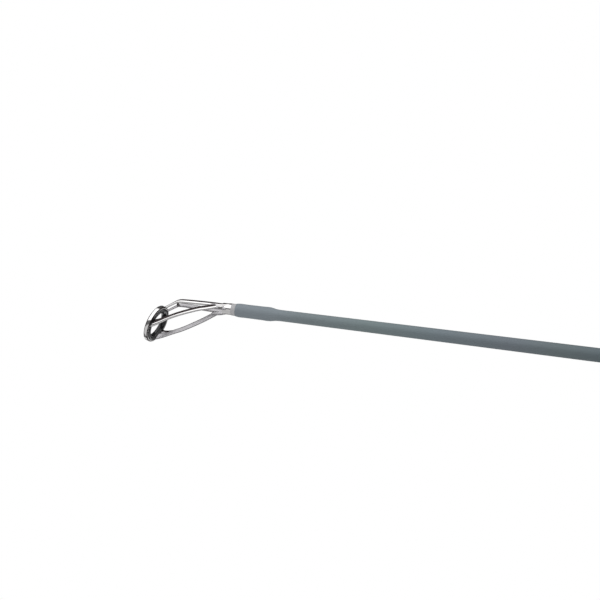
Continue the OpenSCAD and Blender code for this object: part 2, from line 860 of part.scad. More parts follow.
module line_roller() {
    color(BRASS) closed_bail() translate([roller_reach, 28.6, 0]) rotate([-90, 0, 0]) difference() {
        rotate_extrude() polygon([
            [0, 0], [3.9, 0], [3.9, 0.5], [3, 1.2], [3, 1.9], [3.9, 2.8], [3.9, 3.4], [0, 3.4]
        ]);
        translate([0, 0, -1]) cylinder(h = 6, r = 1.5 + run);
    }
}

module roller_screw() {
    color(STEEL) closed_bail() {
        rod_y(roller_reach, 0, 28.5, arm_out + 3, 1.5);
        rod_y(roller_reach, 0, arm_out + 3, arm_out + 3.8, 2.6);
        translate([roller_reach, 28.5, 0]) rotate([90, 0, 0]) cylinder(h = 2.6, r1 = 3.6, r2 = 1.2);
    }
}

// ---------------------------------------------------------------- shaft, spool and drag

module main_shaft() {
    color(STEEL) translate([0, 0, rotor_z]) {
        rod_x(drive_x - 18, drive_x + 55, shaft_r);
        rod_x(drive_x + 55, drive_x + 79, 2);
    }
}

module crosswind_block() {
    color(DARK) translate([0, 0, rotor_z]) difference() {
        union() {
            translate([osc_x - 4, -2.3, -4]) cube([8, 5, 8]);
            translate([osc_x - 3.2, 2.7, -12]) cube([6.4, 1.8, 16]);
        }
        rod_x(drive_x - 30, drive_x, shaft_r);
        translate([osc_x, 0, osc_z - rotor_z]) {
            for (z = [-4.5, 4.5]) rod_y(0, z, 2.8, 6, 1.3);
            translate([-1.3, 2.8, -4.5]) cube([2.6, 3, 9]);
        }
    }
}

module spool() {
    x = drive_x;
    color(PAINT) translate([0, 0, rotor_z]) difference() {
        turned([
            [x + 41, 21.3], [x + 41, 22.4], [x + 55, 23], [x + 56, 22.4], [x + 56.5, 16.5],
            [x + 72, 16], [x + 72, 13], [x + 64, 13], [x + 64, 2], [x + 56, 2], [x + 56, 14.5],
            [x + 54.6, 21.3]
        ]);
        rod_x(x + 50, x + 70, 2 + run);
        for (k = [0 : 5]) rotate([k * 60, 0, 0]) translate([x + 50, 0, 8.5]) rotate([0, 90, 0])
            cylinder(h = 30, r = 2.2);
    }
}

module spool_lip() {
    x = drive_x + 72;
    color(STEEL) translate([0, 0, rotor_z]) turned([
        [x, 13], [x, 16], [x + 1.6, 21], [x + 2.4, 23], [x + 3.6, 23.4], [x + 4.4, 22.8], [x + 4.6, 20],
        [x + 4.2, 15], [x + 4.2, 13]
    ]);
}

module drag_washers() {
    pitch = 0.92;
    for (k = [0 : 4]) color(k % 2 == 0 ? DARK : STEEL) translate([drive_x + 64.1 + k * pitch, 0, rotor_z])
        tube_x(0, pitch - 0.07, 12.4 - (k % 2) * 0.5, 2);
}

module drag_knob() {
    x = drive_x + 68.8;
    color(DARK) translate([0, 0, rotor_z]) difference() {
        turned([
            [x, 0], [x, 12], [x + 7, 12], [x + 8, 11.4], [x + 14.5, 10.6], [x + 15.5, 9.6], [x + 15.5, 0]
        ]);
        rod_x(x - 1, x + 11, 2 + run);
        for (k = [0 : 11]) rotate([k * 30, 0, 0]) translate([x + 8.2, 0, 12.3]) rotate([0, 90, 0])
            cylinder(h = 9, r = 2, $fn = 24);
    }
}

// ---------------------------------------------------------------- crank

module crank_arm() {
    color(DARK) difference() {
        union() {
            rod_y(drive_x, drive_z, half_width + 1.9, 25, 6.5);
            hull() {
                rod_y(drive_x, drive_z, 20, 24.5, 6);
                rod_y(drive_x, drive_z - 0.45 * crank_length, 28, 32, 4.4);
            }
            hull() {
                rod_y(drive_x, drive_z - 0.45 * crank_length, 28, 32, 4.4);
                rod_y(drive_x, drive_z - crank_length, 38, 41.5, 5);
            }
        }
        rod_y(drive_x, drive_z, 10, 20, 3 - run);
        rod_y(drive_x, drive_z, 25, 40, 3.8);
        rod_y(drive_x, drive_z - crank_length, 30, 45, 2);
        rod_y(drive_x, drive_z - crank_length, 30, 38, 3.3);
    }
}

module crank_screw() {
    color(STEEL) difference() {
        rod_y(drive_x, drive_z, 25, 26.6, 3.6);
        translate([drive_x, 26.6, drive_z]) cube([5, 1.4, 0.9], center = true);
    }
}

module knob_pin() {
    color(STEEL) {
        rod_y(drive_x, drive_z - crank_length, 38, 64, 2);
        rod_y(drive_x, drive_z - crank_length, 37.2, 38, 3.2);
    }
}

module crank_knob() {
    color(GRIP) translate([drive_x, 0, drive_z - crank_length]) rotate([-90, 0, 0]) difference() {
        rotate_extrude() polygon([
            [0, 42], [4.6, 42], [5.2, 43], [5.6, 46], [8.5, 51], [11, 56], [11.6, 60], [10.8, 64.5],
            [8, 68], [4, 69.4], [0, 69.6]
        ]);
        translate([0, 0, 40]) cylinder(h = 24.2, r = 2 + run);
    }
}

// ---------------------------------------------------------------- output

tip_guide_frame();
tip_guide_tube();
tip_guide_ring();
tip_guide_wrap();
blank_tip();
for (i = [0 : 4]) {
    guide_frame(i);
    guide_ring(i);
}
tip_section_wraps();
blank_butt();
ferrule_spigot();
butt_section_wraps();
winding_check();
hook_keeper();
fore_grip();
seat_tube();
fixed_hood();
sliding_hood();
lock_nut();
grip_collar();
rear_grip();
butt_cap();
reel_body();
side_cover();
cover_screws();
drive_bearings();
pinion_bearing();
one_way_clutch();
shaft_cap();
anti_reverse_lever();
drive_shaft();
drive_gear();
crank_arm();
crank_screw();
knob_pin();
crank_knob();
pinion_gear();
rotor();
rotor_nut();
bail_arm();
bail_bracket();
bail_wire();
line_roller();
roller_screw();
main_shaft();
crosswind_block();
oscillation_gear();
spool();
spool_lip();
drag_washers();
drag_knob();
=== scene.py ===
"""Spinning rod and reel: finished surfaces, materials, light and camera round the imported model."""
import math
import bpy
from mathutils import Matrix, Vector


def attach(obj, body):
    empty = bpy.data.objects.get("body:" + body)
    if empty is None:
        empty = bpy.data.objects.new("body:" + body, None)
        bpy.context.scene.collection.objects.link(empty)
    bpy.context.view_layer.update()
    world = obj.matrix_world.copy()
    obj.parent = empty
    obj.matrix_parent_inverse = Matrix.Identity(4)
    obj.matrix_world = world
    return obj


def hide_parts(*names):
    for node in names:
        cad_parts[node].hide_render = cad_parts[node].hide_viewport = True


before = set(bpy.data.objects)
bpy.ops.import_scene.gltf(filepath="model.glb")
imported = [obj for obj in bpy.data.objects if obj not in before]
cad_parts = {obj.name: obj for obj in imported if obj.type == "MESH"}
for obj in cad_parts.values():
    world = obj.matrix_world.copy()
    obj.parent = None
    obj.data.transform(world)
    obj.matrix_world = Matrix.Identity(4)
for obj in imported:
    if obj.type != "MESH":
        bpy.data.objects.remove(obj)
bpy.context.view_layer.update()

MM = 0.001
PAIR = (1, -1)


def clamp(value):
    return max(0.0, min(1.0, value))


# ---- shapes

def smooth_curve(keys, steps):
    """Catmull-Rom curve through tuples of any length, with steps points to each span."""
    out = []
    last = len(keys) - 1
    for i in range(last):
        a, b, c, d = (keys[max(0, min(last, i + k))] for k in (-1, 0, 1, 2))
        for s in range(steps):
            t = s / steps
            out.append(tuple(
                0.5 * (2 * q + (r - p) * t + (2 * p - 5 * q + 4 * r - w) * t * t
                       + (3 * q - p - 3 * r + w) * t ** 3)
                for p, q, r, w in zip(a, b, c, d)))
    out.append(tuple(keys[-1]))
    return out


def rounded(points, radius, steps=5, loop=False):
    """Profile with each corner replaced by an arc; radius may be a number or a list."""
    out = []
    n = len(points)
    for i, p in enumerate(points):
        r = radius[i] if isinstance(radius, (list, tuple)) else radius
        if r <= 0 or (not loop and i in (0, n - 1)):
            out.append(tuple(p))
            continue
        p, a, b = Vector(p), Vector(points[i - 1]), Vector(points[(i + 1) % n])
        da, db = a - p, b - p
        angle = da.angle(db, math.pi)
        if angle > math.radians(176):
            out.append(tuple(p))
            continue
        reach = min(r / math.tan(angle / 2), 0.49 * da.length, 0.49 * db.length)
        r = reach * math.tan(angle / 2)
        start, end = p + da.normalized() * reach, p + db.normalized() * reach
        centre = p + (da.normalized() + db.normalized()).normalized() * (r / math.sin(angle / 2))
        for s in range(steps + 1):
            q = start.lerp(end, s / steps) - centre
            out.append(tuple(centre + q.normalized() * r))
    return out


def squared_ring(turns, flat, steep, place):
    """Points round a rounded rectangle; place maps its two coordinates, from -1 to 1, to a point."""
    ring = []
    for k in range(turns):
        a = 2 * math.pi * k / turns
        c, s = math.cos(a), math.sin(a)
        ring.append(place(math.copysign(abs(c) ** flat, c), math.copysign(abs(s) ** steep, s)))
    return ring


def finish_mesh(name, verts, faces, body, materials, replaces=(), sharp=40, face_material=None):
    """Makes a piece from points in millimetres, rides it on a body and hides the CAD parts it replaces."""
    mesh = bpy.data.meshes.new(name)
    mesh.from_pydata([tuple(MM * c for c in v) for v in verts], [], faces)
    for m in materials if isinstance(materials, (list, tuple)) else [materials]:
        mesh.materials.append(m)
    if face_material:
        for poly, index in zip(mesh.polygons, face_material):
            poly.material_index = index
    for poly in mesh.polygons:
        poly.use_smooth = True
    mesh.validate()
    mesh.set_sharp_from_angle(angle=math.radians(sharp))
    piece = bpy.data.objects.new(name, mesh)
    bpy.context.scene.collection.objects.link(piece)
    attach(piece, body)
    if replaces:
        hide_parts(*replaces)
    return piece


class Builder:
    """Collects the closed shells of one piece, in millimetres; marks pick each face's material."""

    def __init__(self):
        self.verts, self.faces, self.marks, self.shells = [], [], [], []

    def grid(self, rows, caps=(True, True), mark=None):
        """Quads round and between rows of points; caps close the first and last row."""
        self.shells.append(len(self.faces))
        base = len(self.verts)
        n = len(rows[0])
        for row in rows:
            self.verts.extend(row)
        for i in range(len(rows) - 1):
            for j in range(n):
                k = (j + 1) % n
                a, b = base + i * n, base + (i + 1) * n
                self.faces.append((a + j, a + k, b + k, b + j))
                self.marks.append(mark(j) if mark else 0)
        if caps[0]:
            self.faces.append(tuple(base + j for j in reversed(range(n))))
            self.marks.append(mark(0) if mark else 0)
        if caps[1]:
            top = base + (len(rows) - 1) * n
            self.faces.append(tuple(top + j for j in range(n)))
            self.marks.append(mark(0) if mark else 0)
        return self

    def lathe(self, profile, origin=(0, 0, 0), axis=(1, 0, 0), sides=96, shape=None):
        """Turns (along, radius) pairs about an axis; shape(angle, along, radius) may change a radius.

        A profile with both ends off the axis closes on itself as a ring.
        One end off the axis gets a flat face.
        """
        a = Vector(axis).normalized()
        u = a.cross(Vector((0, 1, 0)) if abs(a.y) < 0.9 else Vector((1, 0, 0))).normalized()
        v = a.cross(u)
        o = Vector(origin)
        profile = list(profile)
        on_axis = [profile[k][1] < 1e-6 for k in (0, -1)]
        loop = not any(on_axis)
        if not loop and not on_axis[0]:
            profile.insert(0, (profile[0][0], 0))
        if not loop and not on_axis[1]:
            profile.append((profile[-1][0], 0))
        rows = []
        for along, radius in profile if loop else profile[1:-1]:
            row = []
            for j in range(sides):
                t = 2 * math.pi * j / sides
                r = shape(t, along, radius) if shape else radius
                row.append(tuple(o + a * along + (u * math.cos(t) + v * math.sin(t)) * r))
            rows.append(row)
        base = len(self.verts)
        last = base + len(rows) * sides
        self.grid(rows + rows[:1] if loop else rows, caps=(False, False))
        if loop:
            self.faces = [tuple(i - last + base if i >= last else i for i in f) for f in self.faces]
            del self.verts[last:]
            return self
        for row, (along, _), way in ((base, profile[0], -1), (last - sides, profile[-1], 1)):
            self.verts.append(tuple(o + a * along))
            tip = len(self.verts) - 1
            for j in range(sides):
                self.faces.append((tip, row + j, row + (j + 1) % sides)[::way])
                self.marks.append(0)
        return self

    def bar(self, stations, section, mark=None):
        """Sweeps a closed section along stations of (point, outward, width way, thick, half width)."""
        rows = []
        for point, out, wide, thick, half in stations:
            rows.append([tuple(point + out * (p * thick) + wide * (q * half)) for p, q in section])
        return self.grid(rows, mark=mark)

    def volume(self, start, end):
        """Six times the volume of one shell, negative where its faces point inwards."""
        total = 0.0
        for face in self.faces[start:end]:
            a = Vector(self.verts[face[0]])
            for j, k in zip(face[1:], face[2:]):
                total += a.dot(Vector(self.verts[j]).cross(Vector(self.verts[k])))
        return total

    def piece(self, name, body, materials, slot, replaces=(), sharp=40):
        """Turns every shell's faces outwards and makes the piece."""
        ends = self.shells[1:] + [len(self.faces)]
        for start, end in zip(self.shells, ends):
            if self.volume(start, end) < 0:
                self.faces[start:end] = [f[::-1] for f in self.faces[start:end]]
        marks = self.marks if any(self.marks) else None
        return finish_mesh(name, self.verts, self.faces, body, materials, replaces, sharp, marks)


# ---- materials

def srgb(r, g, b, a=1.0):
    def linear(c):
        c /= 255
        return c / 12.92 if c <= 0.04045 else ((c + 0.055) / 1.055) ** 2.4
    return (linear(r), linear(g), linear(b), a)


class Look:
    """One node-based material; every texture is in the object's own coordinates, in metres."""

    def __init__(self, name, color, roughness, metallic=0.0, **sockets):
        self.material = bpy.data.materials.new(name)
        self.material.use_nodes = True
        self.tree = self.material.node_tree
        self.shader = self.tree.nodes["Principled BSDF"]
        self.shader.inputs["Base Color"].default_value = color
        self.shader.inputs["Roughness"].default_value = roughness
        self.shader.inputs["Metallic"].default_value = metallic
        for key, value in sockets.items():
            self.shader.inputs[key.replace("_", " ").title().replace("Ior", "IOR")].default_value = value
        self.coords = self.add("ShaderNodeTexCoord").outputs["Object"]
        self.bump_in = None

    def add(self, kind, **values):
        node = self.tree.nodes.new(kind)
        for key, value in values.items():
            setattr(node, key, value)
        return node

    def link(self, a, b):
        self.tree.links.new(a, b)

    def scaled(self, scale):
        node = self.add("ShaderNodeMapping")
        node.inputs["Scale"].default_value = scale
        self.link(self.coords, node.inputs["Vector"])
        return node.outputs["Vector"]

    def noise(self, scale, detail=3.0, stretch=None, roughness=0.5):
        node = self.add("ShaderNodeTexNoise")
        node.inputs["Scale"].default_value = scale
        node.inputs["Detail"].default_value = detail
        node.inputs["Roughness"].default_value = roughness
        self.link(self.scaled(stretch) if stretch else self.coords, node.inputs["Vector"])
        return node.outputs["Fac"]

    def along_x(self):
        node = self.add("ShaderNodeSeparateXYZ")
        self.link(self.coords, node.inputs[0])
        return node.outputs["X"]

    def spread(self, value, low, high, to_low, to_high):
        node = self.add("ShaderNodeMapRange")
        for key, number in zip(("From Min", "From Max", "To Min", "To Max"), (low, high, to_low, to_high)):
            node.inputs[key].default_value = number
        self.link(value, node.inputs["Value"])
        return node.outputs["Result"]

    def ramp(self, value, stops, interpolation="LINEAR"):
        node = self.add("ShaderNodeValToRGB")
        node.color_ramp.interpolation = interpolation
        elements = node.color_ramp.elements
        while len(elements) < len(stops):
            elements.new(0.5)
        for element, (position, color) in zip(elements, stops):
            element.position = position
            element.color = color
        self.link(value, node.inputs["Fac"])
        return node.outputs["Color"]

    def tint(self, color, value, amount):
        """Multiplies a colour by 1 +- amount, following a texture value."""
        node = self.add("ShaderNodeMix", data_type="RGBA", blend_type="MULTIPLY")
        node.inputs["Factor"].default_value = 1.0
        low, high = 1 - amount, 1 + amount
        shade = self.ramp(value, [(0.25, (low, low, low, 1)), (0.75, (high, high, high, 1))])
        first, second = [i for i in node.inputs if i.type == "RGBA"]
        if isinstance(color, tuple):
            first.default_value = color
        else:
            self.link(color, first)
        self.link(shade, second)
        return [o for o in node.outputs if o.type == "RGBA"][0]

    def base(self, value):
        self.link(value, self.shader.inputs["Base Color"])
        return self

    def rough(self, value, low, high):
        self.link(self.spread(value, 0.3, 0.7, low, high), self.shader.inputs["Roughness"])
        return self

    def bump(self, value, strength, distance):
        node = self.add("ShaderNodeBump")
        node.inputs["Strength"].default_value = strength
        node.inputs["Distance"].default_value = distance
        self.link(value, node.inputs["Height"])
        if self.bump_in:
            self.link(self.bump_in, node.inputs["Normal"])
        self.bump_in = node.outputs["Normal"]
        self.link(self.bump_in, self.shader.inputs["Normal"])
        return self


def steel_look(name, color, low, high, grain):
    look = Look(name, color, low, metallic=1.0)
    fine = look.noise(2600, 2)
    brushed = look.noise(grain, 3, (0.12, 1, 1))
    look.base(look.tint(color, look.noise(900, 2), 0.03))
    look.rough(fine, low, high)
    look.bump(brushed, 0.04, 0.00001)
    return look.material


def sage_paint():
    """Matt sage lacquer, painted paler over the last decimetre as painted light falloff towards the tip, with a soft
    mottle and a fine orange peel.
    """
    look = Look("sage_paint_blank_painted_falloff", srgb(92, 103, 108), 0.5, specular_ior_level=0.35)
    tip = TUBE_FRONT * MM
    # Painted light: the base colour brightens over the last decimetre towards the tip, in place of light falling off
    # along the blank.
    place = look.spread(look.along_x(), tip - 0.08, tip, 0.0, 1.0)
    fade = look.ramp(place, [
        (0.0, srgb(90, 101, 106)), (0.12, srgb(97, 108, 111)), (0.24, srgb(104, 112, 119)),
        (0.44, srgb(108, 119, 125)), (0.60, srgb(112, 125, 127)), (0.80, srgb(117, 127, 131)),
        (0.86, srgb(124, 133, 139)), (1.0, srgb(127, 135, 142))])
    look.base(look.tint(fade, look.noise(1400, 4, (0.35, 1, 1)), 0.03))
    look.rough(look.noise(2200, 3), 0.46, 0.56)
    look.bump(look.noise(5200, 2), 0.10, 0.00002)
    return look.material


def ceramic_look():
    look = Look("black_ceramic", (0.006, 0.006, 0.007, 1), 0.08, specular_ior_level=0.45)
    look.base(look.tint((0.006, 0.006, 0.007, 1), look.noise(1800, 3), 0.25))
    look.rough(look.noise(3000, 3), 0.06, 0.13)
    look.bump(look.noise(4000, 2), 0.03, 0.00001)
    return look.material


# ---- the rod's measures, in millimetres

ROD_LENGTH = 1680.0
TUBE_FRONT = ROD_LENGTH - 15.5
PAINTED_END = TUBE_FRONT - 10
JOINT_X = 830.0
TIP_BASE = 832.0
CHECK_X = 420.0
SEAT_END = 337.0
REAR_GRIP_END = 183.0
CAP_LENGTH = 24.0
BUTT_R, JOINT_R, TIP_R = 4.75, 3.6, 1.25
TAPER = (JOINT_R - TIP_R) / (PAINTED_END - TIP_BASE)
SLIM_START, SLIM_LENGTH, SLIM_SHARE = 75, 63, 0.085


def blank_r(x):
    """The blank's radius at a station; the last stretch before the tip is slimmer than the straight taper."""
    if x >= TIP_BASE:
        slim = clamp((x - TUBE_FRONT + SLIM_START) / SLIM_LENGTH)
        return (JOINT_R - TAPER * (x - TIP_BASE)) * (1 - SLIM_SHARE * slim)
    if x >= CHECK_X:
        return BUTT_R + (JOINT_R - BUTT_R) * (x - CHECK_X) / (JOINT_X - CHECK_X)
    return BUTT_R


# One frame steel in three copies: polished, a dimmer and rougher copy that paints shade on the faces it marks, and a
# near-black copy that paints dark reflections along edges.
STEEL = steel_look("polished_steel", (0.80, 0.79, 0.78, 1), 0.06, 0.13, 1800)
STEEL_SHADED_COPY = steel_look("steel_painted_shade", (0.43, 0.42, 0.43, 1), 0.34, 0.42, 9000)
STEEL_DARK_COPY = steel_look("steel_painted_dark_reflection", (0.040, 0.032, 0.032, 1), 0.34, 0.44, 6000)
CERAMIC = ceramic_look()
PAINT = sage_paint()

# ---- blanks and tip sleeve

stations = range(int(TIP_BASE) + 4, int(TUBE_FRONT) - 18, 8)
blank = Builder().lathe(
    [(TIP_BASE + 60, 0), (TIP_BASE + 60, 2.66), (TIP_BASE, 2.68), (TIP_BASE, JOINT_R - 0.35),
     (TIP_BASE + 0.35, JOINT_R)]
    + [(x, blank_r(x)) for x in stations] + [(TUBE_FRONT - 12, blank_r(TUBE_FRONT - 12))]
    + [(PAINTED_END - 0.15, 1.14), (PAINTED_END, 1.1), (PAINTED_END, 0.92)]
    + [(TUBE_FRONT - 0.75, 0.9), (TUBE_FRONT - 0.6, 0.8), (TUBE_FRONT - 0.6, 0)], sides=128)
blank.piece("tip_blank", "tip_section", PAINT, "sage_paint", ["blank_tip"])

butt_blank = Builder().lathe(
    [(CAP_LENGTH - 9.8, 0), (CAP_LENGTH - 9.8, BUTT_R)]
    + [(x, blank_r(x)) for x in range(30, 828, 14)]
    + [(JOINT_X - 0.4, blank_r(JOINT_X)), (JOINT_X, JOINT_R - 0.35), (JOINT_X, 2.55)], sides=128)
butt_blank.piece("butt_blank", "butt_section", PAINT, "sage_paint", ["blank_butt"])

# Sleeve over the tube: hard shoulder at the tube, a swell and then a short ramp on to the blank
sleeve = [(-2.75, 1.17), (-2.80, 1.27), (-3.1, 1.345), (-3.8, 1.405), (-5.1, 1.385), (-6.8, 1.395), (-8.5, 1.41),
          (-9.5, 1.44), (-10.1, 1.415), (-10.6, 1.34), (-11.1, 1.24), (-11.5, 1.185), (-12.0, 1.165)]
Builder().lathe(
    [(TUBE_FRONT + x, r) for x, r in [(-2.75, 1.15)] + smooth_curve(sleeve, 4)][::-1], sides=128
).piece("tip_sleeve", "tip_section", PAINT, "sage_paint", ["tip_guide_wrap"], sharp=60)

# ---- tip guide

tube = rounded([(-9.9, 0.95), (-9.9, 1.15), (0, 1.15), (0, 0.9), (-0.55, 0.88)], [0, 0, 0.08, 0.05, 0])
b = Builder().lathe([(TUBE_FRONT + x, r) for x, r in tube], sides=96)
b.piece("tip_tube", "tip_section", STEEL, "polished_steel", ["tip_guide_tube"])

# Rim of set varnish between the sleeve and the bare tube
collar = [(-3.0, 1.14), (-2.95, 1.235), (-2.3, 1.225), (-1.95, 1.205), (-1.85, 1.14)]
varnish_rim = Look("clear_varnish_rim", (0.42, 0.42, 0.43, 1), 0.3, specular_ior_level=0.5)
varnish_rim.base(varnish_rim.tint((0.43, 0.43, 0.44, 1), varnish_rim.noise(1500, 2), 0.04))
varnish_rim.rough(varnish_rim.noise(2000, 2), 0.25, 0.38)
Builder().lathe([(TUBE_FRONT + x, r) for x, r in smooth_curve(collar, 4)], sides=96).piece(
    "tip_varnish_rim", "tip_section", varnish_rim.material, "sage_paint")

RING_C = Vector((TUBE_FRONT + 12.88, 0, -5.45))
LEAN = math.radians(20.6)
RING_AXIS = Vector((math.cos(LEAN), 0, math.sin(LEAN)))
RING_R = 3.88
SEAT_R = 3.48


def strip_section(crown=0.62, steps=16, power=2.3):
    """Stamped strip seen end on: crowned outer face and flat inner face, as (outward, wide) pairs."""
    pts = []
    for k in range(steps + 1):
        a = math.pi / 2 - math.pi * k / steps
        c, s = abs(math.cos(a)) ** (2 / power), abs(math.sin(a)) ** (2 / power)
        pts.append((crown * c, math.copysign(s, math.sin(a)) if abs(s) > 1e-9 else 0.0))
    inner = crown - 1
    return pts + [(inner * 0.55, -1.0), (inner * 0.92, -0.95), (inner, -0.88), (inner, -0.3),
                  (inner, 0.3), (inner, 0.70), (inner * 0.92, 0.95), (inner * 0.55, 1.0)]


def strip_marks(points, top, bottom, inside=0.68, face=0):
    """Marks each side of the section: 0 polished face, 1 inner face in the dimmer steel as painted shade, 2 band in
    near-black steel as painted dark reflection.
    """
    marks = []
    for i, (p, q) in enumerate(points):
        r = points[(i + 1) % len(points)]
        middle = (q + r[1]) / 2
        if p > 0.01 or r[0] > 0.01:
            marks.append(2 if middle > top or middle < bottom else face)
        else:
            marks.append(2 if middle > inside else 1)
    return marks


SECTION = strip_section()


def strip(builder, keys, steps, side, edges=(2, -2)):
    """Sweeps the stamped strip; each key is x, y, z, half width, thickness, twist of the face (degrees)."""
    marks = strip_marks(SECTION, *edges)
    curve = smooth_curve(keys, steps)
    points = [Vector((TUBE_FRONT + x, side * y, z)) for x, y, z, *_ in curve]
    stations = []
    for i, (point, key) in enumerate(zip(points, curve)):
        ahead = points[min(i + 1, len(points) - 1)] - points[max(i - 1, 0)]
        ahead.normalize()
        out = Vector((0, side, 0))
        out = (out - ahead * out.dot(ahead)).normalized()
        wide = out.cross(ahead) * -side
        turn = math.radians(key[5])
        out, wide = out * math.cos(turn) - wide * math.sin(turn), wide * math.cos(turn) + out * math.sin(turn)
        stations.append((point, out, wide, key[4], key[3]))

    def end(station, direction):
        point, out, wide, thick, half = station
        extra = []
        for a in (30, 55, 75, 88):
            t = math.radians(a)
            extra.append((point + direction * (0.55 * half * math.sin(t)), out, wide,
                          thick * (0.35 + 0.65 * math.cos(t)), half * max(0.12, math.cos(t))))
        return extra
    first, final = stations[0], stations[-1]
    stations = (end(first, (points[0] - points[1]).normalized())[::-1] + stations
                + end(final, (points[-1] - points[-2]).normalized()))
    count = len(SECTION)
    if side < 0:
        builder.bar(stations, SECTION, mark=lambda j: marks[j])
    else:
        builder.bar(stations, SECTION[::-1], mark=lambda j: marks[(count - 2 - j) % count])


frame_piece = Builder()
for side in PAIR:
    # plate that grows out of the tube's side; its outer face is the dimmer steel as painted shade, and the upper
    # band of its inner face is near-black steel as painted dark reflection
    strip(frame_piece, [(-0.9, 0.86, -0.40, 0.36, 0.24, 4), (-0.3, 1.00, -0.41, 0.46, 0.30, 4),
                        (0.4, 1.17, -0.42, 0.56, 0.38, 4), (1.2, 1.30, -0.44, 0.60, 0.42, 4),
                        (2.2, 1.42, -0.50, 0.46, 0.42, 4)], 6, side, (2, -2, 0.68, 1))
    # upper branch, round the bend and down to the ring's top; the upper half of its outer face is near-black steel
    # as painted dark reflection, and its inner face is the dimmer steel as painted shade with a near-black upper
    # band
    strip(frame_piece, [(-2.6, 0.66, 0.80, 0.20, 0.20, 0), (-1.6, 0.78, 0.68, 0.26, 0.26, 0),
                        (-0.7, 0.98, 0.36, 0.32, 0.32, 0), (0.3, 1.16, 0.08, 0.40, 0.38, 0),
                        (1.4, 1.29, 0.0, 0.44, 0.42, 0),
                        (4.0, 1.17, 0.02, 0.46, 0.42, 0), (6.6, 0.99, 0.05, 0.46, 0.42, 0),
                        (8.5, 0.86, 0.04, 0.43, 0.42, 0), (9.35, 0.82, -0.13, 0.34, 0.38, 0)],
          6, side, (0.02, -2))
    strip(frame_piece, [(8.9, 0.84, 0.06, 0.30, 0.34, 0), (9.5, 0.82, -0.20, 0.27, 0.35, 0),
                        (10.2, 0.80, -0.74, 0.23, 0.35, 0), (11.2, 0.78, -1.56, 0.22, 0.35, 0),
                        (11.6, 0.76, -1.96, 0.28, 0.35, 0)], 6, side, (-0.1, -2, 0.3))
    # lower strut, out to the ring's side, with a broad foot there; the upper part and the lower rim of its outer
    # face are near-black steel as painted dark reflection
    strip(frame_piece, [(1.3, 1.36, -0.44, 0.47, 0.42, 2), (2.9, 1.92, -1.35, 0.49, 0.42, 2),
                        (4.6, 2.50, -2.28, 0.48, 0.42, 2), (7.7, 3.03, -4.10, 0.46, 0.42, 2),
                        (10.0, 3.00, -5.42, 0.45, 0.42, 4), (11.3, 2.88, -6.20, 0.52, 0.42, 6),
                        (12.2, 2.78, -6.66, 0.62, 0.42, 8), (13.0, 2.68, -7.12, 0.60, 0.40, 10),
                        (13.5, 2.60, -7.50, 0.44, 0.34, 12)], 8, side, (-0.22, -0.96))

# web that fills the corner between the far strut and the ring; its outer face is near-black steel as painted dark
# reflection, and its inner face mostly the dimmer steel as painted shade
strip(frame_piece, [(9.3, 3.03, -4.98, 0.30, 0.34, 3), (10.4, 3.00, -5.46, 0.46, 0.36, 4),
                    (11.2, 2.98, -5.70, 0.56, 0.36, 4), (11.9, 3.04, -5.72, 0.66, 0.36, 3),
                    (12.5, 3.18, -5.45, 0.62, 0.34, 2)], 8, -1, (-2, -2, 0.2))

# beads of solder where the branches leave the tube, each over a near-black line of painted shadow at its root
for side in PAIR:
    for mark, drop, size in ((2, 0.10, (0.86, 0.13, 0.27)), (0, 0.0, (0.80, 0.26, 0.25))):
        rows = []
        for j in range(1, 16):
            t = math.pi * j / 16
            ring = []
            for k in range(24):
                a = 2 * math.pi * k / 24 * side
                ring.append((TUBE_FRONT + 0.6 - size[0] * math.cos(t),
                             side * (1.34 + size[1] * math.sin(t) * math.cos(a)),
                             -0.46 - drop + size[2] * math.sin(t) * math.sin(a)))
            rows.append(ring)
        frame_piece.grid(rows, mark=lambda j, mark=mark: mark)

# cross bar that joins the two branches at the bend, with near-black bands along its edges as painted dark reflection
bar = [(Vector((TUBE_FRONT + 9.45, 0.78 - 1.56 * k / 8, -0.20 - 0.06 * math.sin(math.pi * k / 8))),
        Vector((-0.57, 0, -0.82)), Vector((-0.82, 0, 0.57)), 0.32, 0.26) for k in range(9)]
bar_marks = strip_marks(SECTION, 0.25, -0.25)
frame_piece.bar(bar, SECTION, mark=lambda j: bar_marks[j])

RIM = 0.20
ring_profile = rounded([(-0.49, RING_R), (0.49, RING_R), (0.49, SEAT_R), (-0.49, SEAT_R)],
                       [RIM, RIM, 0.05, 0.05], steps=4, loop=True)
start = len(frame_piece.faces)
frame_piece.lathe(ring_profile, RING_C, RING_AXIS, sides=192)
# The ring's rounded outer rims take the near-black steel, a painted dark reflection.
for i in range(start, len(frame_piece.faces)):
    near = [Vector(frame_piece.verts[k]) - RING_C for k in frame_piece.faces[i]]
    along = sum(v.dot(RING_AXIS) for v in near) / len(near)
    radius = sum((v - RING_AXIS * v.dot(RING_AXIS)).length for v in near) / len(near)
    frame_piece.marks[i] = 2 if abs(along) > 0.49 - RIM and radius > RING_R - RIM else 0
frame_piece.piece("tip_frame", "tip_section", [STEEL, STEEL_SHADED_COPY, STEEL_DARK_COPY], "polished_steel",
                  ["tip_guide_frame"], sharp=50)

hole = 2.45
crown = [(0.68 * math.sin(t), hole + 0.55 * (1 - math.cos(t)))
         for t in [math.radians(a) for a in range(-90, 91, 9)]]
insert = ([(-0.60, SEAT_R + 0.02), (-0.66, SEAT_R - 0.08), (-0.70, 3.2)] + crown
          + [(0.70, 3.2), (0.66, SEAT_R - 0.08), (0.60, SEAT_R + 0.02)])
Builder().lathe(insert[::-1], RING_C, RING_AXIS, sides=160).piece(
    "tip_ring", "tip_section", CERAMIC, "ceramic", ["tip_guide_ring"], sharp=60)

# ---- more finishes

